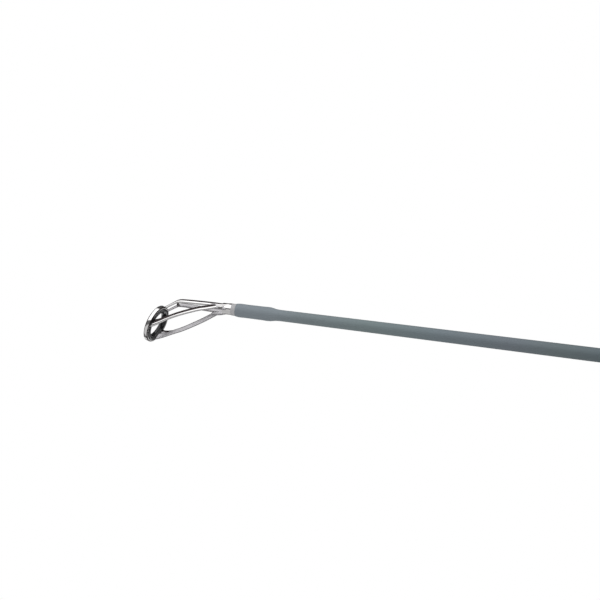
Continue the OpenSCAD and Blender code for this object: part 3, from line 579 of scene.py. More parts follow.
def plastic(name, color, low, high, grain, strength, coat=0.0, mottle=0.05):
    look = Look(name, color, low, specular_ior_level=0.45)
    if coat:
        look.shader.inputs["Coat Weight"].default_value = coat
        look.shader.inputs["Coat Roughness"].default_value = 0.12
    look.base(look.tint(color, look.noise(grain * 0.4, 3), mottle))
    look.rough(look.noise(grain, 3), low, high)
    look.bump(look.noise(grain * 2, 3), strength, 0.00004)
    return look.material


def foam():
    """Closed-cell foam: dark, with fine pores and a slight worn sheen."""
    look = Look("foam_grip", (0.022, 0.023, 0.024, 1), 0.8, specular_ior_level=0.25)
    pores = look.add("ShaderNodeTexVoronoi")
    pores.inputs["Scale"].default_value = 2300
    look.link(look.coords, pores.inputs["Vector"])
    look.base(look.tint((0.026, 0.027, 0.028, 1), look.noise(420, 5), 0.35))
    look.rough(look.noise(240, 3), 0.72, 0.9)
    look.bump(pores.outputs["Distance"], 0.55, 0.00014)
    look.bump(look.noise(900, 4), 0.3, 0.00010)
    return look.material


def wrap_look():
    """Sage thread, one turn every fifth of a millimetre, under a clear glossy varnish."""
    look = Look("thread_wrap", srgb(96, 107, 112), 0.42, specular_ior_level=0.5,
                coat_weight=1.0, coat_roughness=0.06)
    thread = look.add("ShaderNodeTexWave", wave_type="BANDS", bands_direction="X", wave_profile="SIN")
    thread.inputs["Scale"].default_value = 1570
    thread.inputs["Distortion"].default_value = 0.15
    look.link(look.coords, thread.inputs["Vector"])
    look.base(look.tint(srgb(96, 107, 112), thread.outputs["Fac"], 0.16))
    look.rough(look.noise(1200, 3), 0.36, 0.5)
    look.bump(thread.outputs["Fac"], 0.22, 0.00004)
    return look.material


def metal(name, color, low, high, grain, stretch=(1, 0.15, 0.15), strength=0.12):
    look = Look(name, color, low, metallic=1.0)
    look.base(look.tint(color, look.noise(grain * 0.3, 3, stretch), 0.06))
    look.rough(look.noise(grain, 3, stretch), low, high)
    look.bump(look.noise(grain, 4, stretch), strength, 0.00002)
    return look.material


def carbon():
    """Bare graphite cloth under resin, for the spigot."""
    look = Look("graphite", (0.02, 0.02, 0.022, 1), 0.3, specular_ior_level=0.6, coat_weight=0.6)
    weave = look.add("ShaderNodeTexChecker")
    weave.inputs["Scale"].default_value = 900
    look.link(look.coords, weave.inputs["Vector"])
    look.base(look.tint((0.024, 0.024, 0.026, 1), weave.outputs["Fac"], 0.3))
    look.rough(look.noise(1500, 2), 0.24, 0.36)
    look.bump(weave.outputs["Fac"], 0.1, 0.00003)
    return look.material


def reel_paint_look():
    """Satin sage paint with fine metal flake."""
    color = srgb(124, 134, 138)
    look = Look("reel_paint", color, 0.34, metallic=0.35, coat_weight=0.35, coat_roughness=0.18)
    flake = look.add("ShaderNodeTexVoronoi")
    flake.inputs["Scale"].default_value = 5200
    look.link(look.coords, flake.inputs["Vector"])
    look.base(look.tint(look.tint(color, flake.outputs["Distance"], 0.08), look.noise(60, 3), 0.03))
    look.rough(look.noise(900, 3), 0.30, 0.40)
    look.bump(look.noise(2600, 2), 0.08, 0.00003)
    return look.material


FOAM = foam()
WRAP = wrap_look()
SEAT = plastic("seat_plastic", (0.030, 0.033, 0.035, 1), 0.38, 0.52, 1600, 0.16)
RUBBER = plastic("cap_rubber", (0.014, 0.014, 0.014, 1), 0.62, 0.78, 1300, 0.35)
KNOB = plastic("knob_rubber", (0.020, 0.021, 0.022, 1), 0.55, 0.7, 1500, 0.4)
REEL_PAINT = reel_paint_look()
REEL_DARK = plastic("reel_dark", (0.035, 0.038, 0.041, 1), 0.24, 0.36, 1500, 0.08, coat=0.3)
GRAPHITE = carbon()
SPOOL_METAL = metal("spool_anodised", (0.34, 0.37, 0.385, 1), 0.26, 0.38, 1400, (0.2, 1, 1))
SPOOL_EDGE = metal("spool_edge", (0.83, 0.83, 0.84, 1), 0.10, 0.2, 2400, (2, 0.3, 0.3), 0.06)
BEARING = metal("bearing_steel", (0.60, 0.60, 0.61, 1), 0.22, 0.34, 2000)
BRASS_LOOK = metal("machined_brass", (0.72, 0.52, 0.22, 1), 0.2, 0.32, 2000)
GOLD = metal("roller_gold", (0.86, 0.66, 0.32, 1), 0.08, 0.16, 2600, (1, 3, 1), 0.05)
DIE_CAST = metal("die_cast", (0.52, 0.52, 0.53, 1), 0.4, 0.52, 1200, (1, 1, 1), 0.3)
FELT = plastic("drag_washer", (0.04, 0.04, 0.04, 1), 0.75, 0.9, 3000, 0.5)
ANODISED = metal("grip_metal", (0.42, 0.46, 0.48, 1), 0.2, 0.3, 1800, (1, 0.2, 0.2), 0.08)

# ---- wraps

GUIDES = [(112, 3.4, 6.2, 9), (236, 3.9, 7.4, 10), (388, 5.2, 10.5, 12), (580, 7.4, 15.5, 14),
          (915, 11.5, 25.5, 17)]
DOWN = math.pi
FRONT_FOOT = 29


def wrap_skin(b, x0, x1, build, feet=()):
    """Varnished thread from x0 to x1; feet are (from, to, half angle, lift) of what lies under it."""
    def shape(angle, along, radius):
        swell = 0
        off = abs((angle - DOWN + math.pi) % (2 * math.pi) - math.pi)
        for start, stop, half, lift in feet:
            side = math.exp(-(off / half) ** 4)
            span = clamp((along - start) / 2 + 0.1) * clamp((stop - along) / 2 + 0.5)
            swell = max(swell, lift * side * span)
        return radius + swell * (clamp((along - x0) / 1.2) * clamp((x1 - along) / 1.2))
    ends = [(0, -0.02), (0.12, 0.14), (0.6, 0.75 * build), (1.4, build)]
    keys = [(x0 + inset, blank_r(x0) + rise) for inset, rise in ends]
    span = x1 - x0 - 2.8
    count = max(2, int(span / 0.7))
    for k in range(1, count):
        x = x0 + 1.4 + span * k / count
        keys.append((x, blank_r(x) + build * (1.0 + 0.04 * math.sin(x * 1.7))))
    keys += [(x1 - inset, blank_r(x1) + rise) for inset, rise in reversed(ends)]
    b.lathe(keys, sides=96, shape=shape)


def guide_x(i):
    return ROD_LENGTH - GUIDES[i][0]


def foot_cover(i):
    foot = GUIDES[i][3]
    x = guide_x(i)
    wide = (0.45 + 0.08 * GUIDES[i][1]) / blank_r(x)
    return (x - foot, x + 5, wide + 0.30, 0.42)


wraps = Builder()
for i in range(4):
    wrap_skin(wraps, guide_x(i) - GUIDES[i][3] - 3, guide_x(i) - 1.5, 0.42, [foot_cover(i)])
wrap_skin(wraps, TIP_BASE + 0.5, TIP_BASE + 20, 0.3)
wraps.piece("tip_wraps", "tip_section", WRAP, "thread_wrap", ["tip_section_wraps"], sharp=60)

wraps = Builder()
wrap_skin(wraps, guide_x(4) - 20, guide_x(4) - 1.5, 0.42, [foot_cover(4)])
x = guide_x(4) + FRONT_FOOT
wrap_skin(wraps, x + 2, x + 17, 0.42, [(x - 3, x + 14, 0.55, 0.55)])
wrap_skin(wraps, JOINT_X - 16, JOINT_X - 0.5, 0.3)
wrap_skin(wraps, CHECK_X + 12, CHECK_X + 34, 0.42, [(CHECK_X + 12, CHECK_X + 34, 0.35, 0.3)])
wraps.piece("butt_wraps", "butt_section", WRAP, "thread_wrap", ["butt_section_wraps"], sharp=60)

# ---- running guides

GUIDE_LEAN = math.radians(18)
GUIDE_AXIS = Vector((math.cos(GUIDE_LEAN), 0, math.sin(GUIDE_LEAN)))
GUIDE_UP = Vector((-math.sin(GUIDE_LEAN), 0, math.cos(GUIDE_LEAN)))
BAR = rounded([(0.5, 1), (0.5, -1), (-0.5, -1), (-0.5, 1)], 0.35, steps=4, loop=True)


def sweep(b, keys, steps, out=(0, 1, 0), section=BAR):
    """Sweeps a rounded bar along keys of x, y, z, half width, thickness."""
    curve = smooth_curve(keys, steps)
    stations = []
    for i, key in enumerate(curve):
        a, c = Vector(curve[max(i - 1, 0)][:3]), Vector(curve[min(i + 1, len(curve) - 1)][:3])
        ahead = (c - a).normalized()
        face = Vector(out(i / (len(curve) - 1)) if callable(out) else out)
        face = (face - ahead * face.dot(ahead)).normalized()
        stations.append((Vector(key[:3]), face, ahead.cross(face), key[4], key[3]))
    b.bar(stations, section)


def running_guide(i, body):
    distance, ring_r, height, foot = GUIDES[i]
    x = guide_x(i)
    depth = blank_r(x) + height
    centre = Vector((x + 0.35 * depth, 0, -depth))
    seat = ring_r - 0.75
    half = 0.6 + 0.03 * ring_r
    b = Builder()
    b.lathe(rounded([(-half, ring_r), (half, ring_r), (half, seat), (-half, seat)],
                    [0.3, 0.3, 0.1, 0.1], loop=True), centre, GUIDE_AXIS, sides=144)
    width = 0.45 + 0.08 * ring_r
    under = -blank_r(x)
    sweep(b, [(x - foot, 0, -blank_r(x - foot) - 0.12, 0.6 * width, 0.16),
              (x - foot * 0.5, 0, -blank_r(x - foot * 0.5) - 0.26, width, 0.5),
              (x - 1, 0, under - 0.42, width, 0.75), (x + 1.5, 0, under - 0.42, width, 0.75),
              (x + 2.2, 0, under - 0.42, 0.8 * width, 0.6)], 6, out=(0, 0, 1))

    def ring_point(angle):
        a = math.radians(angle)
        reach = ring_r - 0.12
        return centre + GUIDE_UP * (math.cos(a) * reach) + Vector((0, math.sin(a) * reach, 0))

    def leg(start, angle, y, sag):
        for side in PAIR:
            end = ring_point(side * angle)
            a = Vector((start, side * y, under - 0.45))
            mid = a.lerp(end, 0.5) + Vector((0, side * sag, 0))
            radial = (end - centre).normalized()

            def facing(t, side=side, radial=radial):
                return Vector((0, side, 0)).lerp(radial, t * t)
            w0, w1 = 0.50 + 0.02 * ring_r, 0.42 + 0.035 * ring_r
            sweep(b, [(*a, w0, 0.55), (*a.lerp(mid, 0.5), w0, 0.55), (*mid, w0, 0.55),
                      (*mid.lerp(end, 0.5), w1, 0.5), (*end, w1 * 1.25, 0.42)], 6, out=facing)
    leg(x + 0.6, 96, 0.3 + 0.05 * ring_r, 0.10 * ring_r)
    if i == 4:
        front = x + FRONT_FOOT
        sweep(b, [(front - 0.5, 0, -blank_r(front) - 0.5, 1.15, 0.7),
                  (front + 4, 0, -blank_r(front + 4) - 0.45, 1.2, 0.7),
                  (front + 9, 0, -blank_r(front + 9) - 0.3, 1.05, 0.45),
                  (front + 14, 0, -blank_r(front + 14) - 0.12, 0.7, 0.18)], 6, out=(0, 0, 1))
        for side in PAIR:
            end = ring_point(side * 38)
            a = Vector((front + 1, side * 0.8, -blank_r(front) - 0.55))
            mid = a.lerp(end, 0.5) + Vector((0, side * 0.6, -0.8))
            radial = (end - centre).normalized()
            sweep(b, [(*a, 0.75, 0.55), (*mid, 0.75, 0.55), (*end, 0.85, 0.45)], 10,
                  out=lambda t, side=side, radial=radial: Vector((0, side, 0)).lerp(radial, t * t))
    b.piece(f"guide_{i + 1}_stand", body, STEEL, "polished_steel", [f"guide_{i + 1}_frame"], sharp=50)
    hole = seat - 0.9
    crown = [(0.72 * math.sin(t), hole + 0.45 * (1 - math.cos(t)))
             for t in [math.radians(a) for a in range(-90, 91, 10)]]
    insert = [(-0.70, seat + 0.01), (-0.80, seat - 0.15)] + crown + [(0.80, seat - 0.15), (0.70, seat + 0.01)]
    Builder().lathe(insert[::-1], centre, GUIDE_AXIS, sides=144).piece(
        f"guide_{i + 1}_insert", body, CERAMIC, "ceramic", [f"guide_{i + 1}_ring"], sharp=60)


for i in range(5):
    running_guide(i, "butt_section" if i == 4 else "tip_section")

# ---- handle

def turned(name, body, material, slot, profile, replaces, sides=128, shape=None, sharp=40,
           origin=(0, 0, 0), axis=(1, 0, 0)):
    return Builder().lathe(profile, origin, axis, sides=sides, shape=shape).piece(
        name, body, material, slot, replaces, sharp)


turned("butt_cap_skin", "butt_section", RUBBER, "cap_rubber",
       [(0, 0), (0, 8.6)] + rounded([(0, 8.6), (0, 9.5), (1, 11.3), (3, 12.9), (6, 13.5), (9, 13.45),
                                     (9.6, 13.05), (10.4, 13.05), (11, 13.45), (CAP_LENGTH - 0.3, 13.5),
                                     (CAP_LENGTH, 13.2), (CAP_LENGTH, 4.8)],
                                    [0, 1, 2.5, 3, 2, 0.3, 0.3, 0.3, 0.3, 0.25, 0.2, 0])[1:], ["butt_cap"])
r = 13.5
x1 = REAR_GRIP_END - 4
grip = smooth_curve([(CAP_LENGTH + 0.9, r), (60, r), (92, r - 0.02), (112, r - 0.9), (130, r - 2.5), (146, r - 3.2),
                     (158, r - 3.1), (168, r - 2.2), (x1 - 4, r - 1.45), (x1 - 0.9, r - 1.55)], 8)
turned("rear_grip_foam", "butt_section", FOAM, "foam_grip",
       [(CAP_LENGTH + 0.02, 4.8), (CAP_LENGTH + 0.02, r - 0.7), (CAP_LENGTH + 0.3, r - 0.2)] + grip
       + [(x1 - 0.3, r - 1.8), (x1 - 0.02, r - 2.2), (x1 - 0.02, 4.8)], ["rear_grip"])
turned("grip_collar_ring", "butt_section", ANODISED, "polished_steel",
       rounded([(REAR_GRIP_END - 4, 4.8), (REAR_GRIP_END - 4, 12.3), (REAR_GRIP_END - 2.5, 12.3),
                (REAR_GRIP_END - 2.5, 11.9), (REAR_GRIP_END - 1.5, 11.9), (REAR_GRIP_END - 1.5, 12.3),
                (REAR_GRIP_END, 12.3), (REAR_GRIP_END, 4.8)], [0, 0.3, 0.1, 0.1, 0.1, 0.1, 0.3, 0]),
       ["grip_collar"])
s = SEAT_END
fore = smooth_curve([(s + 0.5, 12.35), (s + 3, 12.8), (s + 10, 12.6), (s + 18, 12), (s + 40, 10.2),
                     (s + 62, 9.2), (s + 76, 9.0), (s + 81.5, 8.8)], 8)
turned("fore_grip_foam", "butt_section", FOAM, "foam_grip",
       [(s + 0.02, 4.8), (s + 0.02, 11.9)] + fore + [(s + 82.6, 8.4), (s + 82.98, 7.8), (s + 82.98, 4.8)],
       ["fore_grip"])
c = CHECK_X
turned("winding_check_ring", "butt_section", ANODISED, "polished_steel",
       rounded([(c + 0.02, 4.8), (c + 0.02, 8.4), (c + 1.5, 8.4), (c + 2.2, 7.0), (c + 4, 6.2),
                (c + 5, 6.2), (c + 7, 5.6), (c + 7, 4.8)], [0, 0.3, 0.4, 0.5, 0.5, 0.3, 0.3, 0]),
       ["winding_check"])

# Reel seat: moulded barrel with a real helical thread
THREAD_START, THREAD_END, PITCH, THREAD_DEPTH = 190.0, 240.0, 1.5, 0.6


def thread(angle, along, radius):
    if not THREAD_START < along < THREAD_END:
        return radius
    phase = ((along - THREAD_START) / PITCH - angle / (2 * math.pi)) % 1.0
    crest = clamp((0.5 - abs(phase - 0.5)) * 3.4 - 0.15)
    fade = min(1.0, (along - THREAD_START) / 1.5, (THREAD_END - along) / 1.0)
    if along < THREAD_END - 1.0:
        return radius - THREAD_DEPTH + THREAD_DEPTH * crest * fade
    return radius - THREAD_DEPTH * (1 - fade)


barrel = rounded([(REAR_GRIP_END + 0.02, 4.8), (REAR_GRIP_END + 0.02, 12), (187, 12), (188, 9.7),
                  (THREAD_START - 0.01, 9.6)], [0, 0.5, 0.5, 0.2, 0])
barrel += [(THREAD_START + 0.15 * k, 10.2) for k in range(1, int(50 / 0.15))]
barrel += [(THREAD_END + 0.02, 10.2), (262, 10.2), (290, 10.2), (SEAT_END - 0.5, 10.2), (SEAT_END - 0.02, 10.2),
           (SEAT_END - 0.02, 4.8)]
turned("seat_barrel", "butt_section", SEAT, "seat_plastic", barrel, ["seat_tube"], sides=96, shape=thread)


def flutes(count, depth, spread, start, stop, ramp, least=8.0):
    """Shape of a turned part with a ring of scallops between two stations."""
    def shape(angle, along, radius):
        if radius < least:
            return radius
        near = abs(((angle * count / (2 * math.pi)) % 1.0) - 0.5) * 2 * math.pi / count * radius
        if near >= spread:
            return radius
        fade = min(1.0, max(0.0, (along - start) / ramp), max(0.0, (stop - along) / ramp))
        fade = fade * fade * (3 - 2 * fade)
        return radius - depth * fade * (0.5 + 0.5 * math.cos(math.pi * near / spread))
    return shape


nut = 207.5
rows = [(nut, 10.4), (nut, 11.9)] + [(nut + 0.5 * (1 - math.cos(a)), 12.4 + 0.5 * math.sin(a))
                                     for a in [math.radians(k * 15) for k in range(0, 7)]]
rows += [(nut + 1 + 0.25 * k, 13.0) for k in range(0, 47)]
rows += [(nut + 13.5 - 0.5 * (1 - math.cos(a)), 12.4 + 0.5 * math.sin(a))
         for a in [math.radians(k * 15) for k in range(6, -1, -1)]] + [(nut + 13.5, 11.9), (nut + 13.5, 10.4)]
b = Builder().lathe(rows, sides=432, shape=flutes(18, 0.65, 1.5, nut + 1.6, nut + 12.2, 2.2))
b.piece("lock_nut_ring", "lock_nut", ANODISED, "seat_plastic", ["lock_nut"], sharp=35)


def hull_ring(first, second, turns=96):
    """Outline of two circles (x, z, radius) and their common tangents, as points round it."""
    (ax, az, ar), (bx, bz, br) = first, second
    points = []
    for k in range(turns):
        a = 2 * math.pi * k / turns
        ux, uz = math.cos(a), math.sin(a)
        reach = [(cx * ux + cz * uz + cr, cx, cz, cr) for cx, cz, cr in (first, second)]
        _, cx, cz, cr = max(reach)
        points.append((cx + cr * ux, cz + cr * uz))
    return points


def slab(b, first, second, levels, place, turns=96):
    """Plate with a two-circle outline: levels are (height, inset), place maps (u, v, height) to a point."""
    rows = []
    for height, inset in levels:
        one = (first[0], first[1], max(first[2] - inset, 0.02))
        two = (second[0], second[1], max(second[2] - inset, 0.02))
        rows.append([place(u, v, height) for u, v in hull_ring(one, two, turns)])
    b.grid(rows)


def across(u, v, height):
    """Places an outline drawn in x and z at a height along Y."""
    return (u, height, v)


def edge(height, inset, radius, way=1, steps=6):
    """Levels of a quarter-round edge that ends at a height, from the side to the face."""
    return [(height - way * radius * (1 - math.sin(a)), inset + radius * (1 - math.cos(a)))
            for a in [math.radians(90 * k / steps) for k in range(steps + 1)]]


DRIVE_X, DRIVE_Z = 262.0, -69.0
ROTOR_Z = -62.0
HOUSING = ((DRIVE_X, DRIVE_Z, 22.0), (243.0, -65.0, 15.0))
LUGS = [(x + reach * math.cos(math.radians(turn)), 0, z + reach * math.sin(math.radians(turn)))
        for x, z, reach, turn in ((DRIVE_X, DRIVE_Z, 21.4, 48), (243, -65, 14.4, 135),
                                  (DRIVE_X, DRIVE_Z, 21.4, -75))]

# Housing: body, side cover and bosses
b = Builder()
levels = edge(-8.98, 0, 0.35, -1)[::-1] + [(y, 0) for y in (-6, 0, 6, 7.6)]
levels += [(8.5 + 4.5 * math.sin(a), 4.5 * (1 - math.cos(a)))
           for a in [math.radians(9 * k) for k in range(0, 11)]]
slab(b, *HOUSING, levels, across, 160)
b.lathe(rounded([(12.5, 10.2), (13.02, 9.6), (13.4, 9), (14.5, 9), (14.5, 7.4), (14.1, 7.2), (14.1, 5.2),
                 (12.5, 5.2)],
                [0, 0.4, 0.4, 0.5, 0.2, 0.2, 0.2, 0]), (DRIVE_X, 0, DRIVE_Z), (0, 1, 0), sides=96)
b.lathe(rounded([(276, 0), (276, 13.6), (279, 14.5), (288, 17.4), (297, 17.4), (297, 16.1), (292, 16.1), (292, 11.4),
                 (297, 11.4), (297, 10.0), (296, 9.4), (296, 0)],
                [0, 1, 2, 1.2, 0.4, 0.3, 0.3, 0.3, 0.4, 0.3, 0.2, 0]), (0, 0, ROTOR_Z), (1, 0, 0), sides=144)
STEM_FOOT = [(258, 275, 4.5, -51.5), (260.2, 277.2, 4.3, -46), (262.6, 279.8, 4.15, -39), (265, 282.6, 4.0, -31),
             (266.8, 285.2, 3.9, -23), (267.4, 287.4, 3.9, -17), (266, 290, 4.3, -13.6), (262, 294, 5.0, -12.4)]


def oval(x0, x1, half, z, turns=64):
    """A long rounded section lying flat at a height."""
    mid, reach = (x0 + x1) / 2, (x1 - x0) / 2
    return squared_ring(turns, 0.62, 0.8, lambda c, s: (mid + reach * c, half * s, z))


b.grid([oval(x0, x1, half, z) for x0, x1, half, z in
        smooth_curve([(254, 281, 7.6, -54), (256.2, 278, 5.6, -52.2)] + STEM_FOOT, 4)])
# foot plate: its top is hollowed to the seat's radius
SEAT_R_TOUCH = 10.2
rows = []
for x in [240, 240.25, 240.8, 242, 246, 250, 254, 257, 260, 264, 270, 277, 284, 290, 294, 297, 300, 304, 308, 312,
          313.2, 313.75, 314.0]:
    deep = clamp((x - 251) / 9) * clamp((304 - x) / 9)
    deep = deep * deep * (3 - 2 * deep)
    low = 0.7 + 1.9 * deep
    close = min(1.0, math.sqrt(max(0.0, 1 - (max(0.0, 244 - x, x - 310) / 4.0) ** 2)))
    half = max(0.4, 5.5 * close)
    row = []
    for k in range(17):
        y = half * (1 - 2 * k / 16)
        row.append((x, y, -math.sqrt(SEAT_R_TOUCH ** 2 - y * y) - 0.02))
    for k in range(17):
        y = -half * (1 - 2 * k / 16)
        edge_drop = math.sqrt(max(0.0, 1 - (y / half) ** 4))
        top = -math.sqrt(SEAT_R_TOUCH ** 2 - y * y) - 0.02
        row.append((x, y, min(top - 0.12, -SEAT_R_TOUCH - low * edge_drop * (1 if close > 0.3 else 0.6))))
    rows.append(row)
b.grid(rows)
for lug in LUGS:
    b.lathe(rounded([(-8.9, 0), (-8.9, 2.8), (-2, 2.8), (-1.2, 1.6), (-1.0, 0)], [0, 0, 0.8, 0.5, 0]),
            lug, (0, 1, 0), sides=48)
b.piece("reel_housing", "butt_section", REEL_PAINT, "reel_paint", ["reel_body"], sharp=42)

b = Builder()
levels = [(-13.0, 1.9)] + [(-13.0 + 1.3 * (1 - math.cos(a)), 1.3 * (1 - math.sin(a)))
                           for a in [math.radians(9 * k) for k in range(1, 11)]] + [(-9.4, 0), (-9.12, 0.25)]
slab(b, *HOUSING, [(-13.0, 6)] + levels, across, 160)
slab(b, (DRIVE_X, DRIVE_Z, 16.5), (243.0, -65.0, 9.5),
     [(-12.9, 0), (-13.3, 0.15), (-13.55, 0.5), (-13.6, 1.1)][::-1], across, 160)
b.lathe(rounded([(-12.8, 9.8), (-13.3, 9.3), (-14.5, 9), (-14.5, 6.6), (-12.8, 6.6)][::-1], [0, 0.2, 0.6, 0.5, 0]),
        (DRIVE_X, 0, DRIVE_Z), (0, 1, 0), sides=96)
for lug in LUGS:
    b.lathe(rounded([(-11.8, 1.75), (-11.8, 2.8), (-9.12, 2.8), (-9.12, 1.75)], [0.1, 0.5, 0.2, 0.1], loop=True),
            lug, (0, 1, 0), sides=48)
b.piece("reel_side_cover", "butt_section", REEL_DARK, "reel_dark", ["side_cover"], sharp=42)

b = Builder()
rows = [(-17.0, 0), (-17.0, 2.2), (-16.75, 2.6), (-16.75, 4.4), (-17.0, 4.8), (-17.0, 5.6)]
rows += [(-17.0 + 0.9 * (1 - math.cos(a)), 5.6 + 0.9 * math.sin(a))
         for a in [math.radians(15 * k) for k in range(1, 7)]]
rows += [(-16.1 + 0.15 * k, 6.5) for k in range(1, 10)] + [(-14.62, 6.35), (-14.62, 0)]
b.lathe(rows, (DRIVE_X, 0, DRIVE_Z), (0, 1, 0), sides=144, shape=flutes(12, 0.45, 1.1, -17.5, -14.7, 1.2, 6.0))
b.piece("shaft_cap_disc", "butt_section", REEL_DARK, "reel_dark", ["shaft_cap"], sharp=38)

# ---- crank

# The arm goes straight down from the hub, then steps outwards to the knob's pin:
# half width, drop below the hub, and the two faces along Y
ARM = [(0.7, 6.1, 21.4, 23.4), (3.2, 5.2, 20.5, 24.2), (5.0, 3.2, 20.1, 24.5), (6.0, 0.2, 20.0, 24.6),
       (5.7, -6.0, 20.6, 25.0),
       (4.9, -12.0, 22.6, 26.9), (4.4, -18.0, 25.4, 29.6), (4.3, -24.0, 28.2, 32.2), (4.2, -31.0, 31.4, 35.3),
       (4.3, -38.0, 34.6, 38.3), (4.7, -44.0, 37.0, 40.4), (5.0, -48.0, 38.0, 41.3), (4.9, -50.5, 38.0, 41.5),
       (4.0, -53.0, 38.2, 41.4), (2.4, -54.4, 38.6, 41.0), (0.8, -54.9, 39.0, 40.6)]
b = Builder()
rows = []
for half, z, low, high in smooth_curve(ARM, 6):
    middle, reach = (low + high) / 2, (high - low) / 2
    rows.append(squared_ring(48, 0.7, 0.45,
                             lambda c, s: (DRIVE_X + half * c, middle + reach * s, DRIVE_Z + z)))
b.grid(rows)
b.lathe(rounded([(14.9, 2.5), (14.9, 6.3), (20.5, 6.5), (24.2, 6.3), (25.0, 5.4), (25.0, 2.5)],
                [0, 0.4, 0.3, 0.7, 0.3, 0]), (DRIVE_X, 0, DRIVE_Z), (0, 1, 0), sides=96)
b.lathe(rounded([(38.0, 1.9), (38.0, 4.7), (41.5, 4.7), (41.9, 3.3), (41.9, 1.9)], [0, 0.5, 0.5, 0.3, 0]),
        (DRIVE_X, 0, DRIVE_Z - 50), (0, 1, 0), sides=72)
b.piece("crank_arm_forged", "crank", ANODISED, "reel_dark", ["crank_arm"], sharp=50)

turned("crank_knob_grip", "crank_knob", KNOB, "foam_grip",
       [(42.4, 2.6), (42.05, 4.2)] + smooth_curve([(42.4, 4.75), (43, 5.1), (46, 5.6), (51, 8.4), (56, 10.9),
                                                 (60, 11.6), (64.5, 10.8), (68, 8)], 8)
       + [(68.8, 6.6), (69.2, 5.4), (69.25, 4.6), (69.0, 4.3), (69.0, 2.4), (69.25, 1.9), (69.5, 0)],
       ["crank_knob"], origin=(DRIVE_X, 0, DRIVE_Z - 50), axis=(0, 1, 0), sides=144)

# ---- rotor and bail

b = Builder()
b.lathe(rounded([(292, 18.4), (292, 21.5), (297, 21.5), (298, 20), (309, 20), (309, 18.4), (303, 18.4), (303, 3.5),
                 (300, 3.5), (300, 17.8), (297, 18.4)],
                [0.2, 0.8, 0.7, 0.5, 0.5, 0.3, 0.5, 0.2, 0.2, 0.6, 0.6], loop=True),
        (0, 0, ROTOR_Z), (1, 0, 0), sides=160)
for side in PAIR:
    outline = [(292, 18.8, 23.6), (292.3, 18.8, 25.2), (293, 18.8, 27), (294.4, 18.8, 28.8), (296, 18.8, 30.2),
               (297.2, 18.8, 31), (297.8, 19.2, 31.4), (298, 25.2, 31.5), (299, 26, 31.8), (300.5, 27.1, 32),
               (302, 28.1, 32), (303, 28.4, 32), (306, 28.4, 32), (312, 28.4, 32), (318, 28.4, 32)]
    rows = []
    for x, low, high in outline:
        middle, reach = (low + high) / 2, (high - low) / 2
        rows.append(squared_ring(40, 0.35, 0.5,
                                 lambda c, s: (x, side * (middle + reach * c), ROTOR_Z + 6.5 * s)))
    b.grid(rows)
    disc = rounded([(28.4, 2.05), (28.4, 6.5), (32, 6.5), (32, 2.05)], [0.1, 0.45, 0.45, 0.15], loop=True)
    b.lathe([(side * y, r) for y, r in disc], (326, 0, ROTOR_Z), (0, 1, 0), sides=96)
    rows = []
    for x, half in ((317, 6.5), (319, 6.5), (321, 6.5), (322.4, 6.2), (323.6, 5.4)):
        rows.append(squared_ring(40, 0.35, 0.5,
                                 lambda c, s: (x, side * (30.2 + 1.79 * c), ROTOR_Z + half * s)))
    b.grid(rows)
b.piece("rotor_shell", "rotor", REEL_PAINT, "reel_paint", ["rotor"], sharp=42)

# The bail stands 50 degrees round the rotor's pivots when it is closed
PIVOT = Vector((326, 0, ROTOR_Z))
TURN = math.radians(50)
AHEAD = Vector((math.cos(TURN), 0, -math.sin(TURN)))
OVER = Vector((math.sin(TURN), 0, math.cos(TURN)))


def bail_place(u, v, height):
    return tuple(PIVOT + AHEAD * u + OVER * v + Vector((0, height, 0)))


b = Builder()
slab(b, (0, 0, 6.3), (18.5, 0, 4.2), edge(32.32, 0, 0.2, -1)[::-1] + [(33.5, 0)] + edge(35.0, 0, 0.7),
     bail_place, 120)
b.lathe([(31.9, 0), (31.9, 1.95), (32.4, 1.95), (32.4, 0)], PIVOT, (0, 1, 0), sides=48)
b.lathe(rounded([(34.9, 3.4), (35.0, 3.3), (34.6, 3.1), (34.6, 0)], [0, 0.05, 0.1, 0]), PIVOT, (0, 1, 0), sides=64)
b.piece("bail_arm_plate", "bail", STEEL, "polished_steel", ["bail_arm"], sharp=45)
b = Builder()
slab(b, (0, 0, 6.3), (10.5, 0, 2.6), edge(-35.0, 0, 0.7, -1)[::-1] + [(-33.5, 0)] + edge(-32.32, 0, 0.2),
     bail_place, 120)
b.lathe([(-33, 1.65), (-29.7, 1.65), (-29.6, 1.5), (-29.6, 0)], bail_place(10.5, 0, 0), (0, 1, 0), sides=48)
b.piece("bail_bracket_plate", "bail", STEEL, "polished_steel", ["bail_bracket"], sharp=45)

rows = []
for k in range(121):
    a = math.radians(32 + 131 * k / 120)
    centre = Vector((36 * math.sin(a), 31 * math.cos(a), 0))
    normal = Vector((math.sin(a) / 36, math.cos(a) / 31, 0)).normalized()
    row = []
    for j in range(28):
        t = 2 * math.pi * j / 28
        point = centre + (normal * math.cos(t) + Vector((0, 0, 1)) * math.sin(t)) * 0.9
        row.append(bail_place(point.x, point.z, point.y))
    rows.append(row)
b = Builder()
b.grid(rows)
b.piece("bail_wire_loop", "bail", STEEL, "polished_steel", ["bail_wire"], sharp=60)

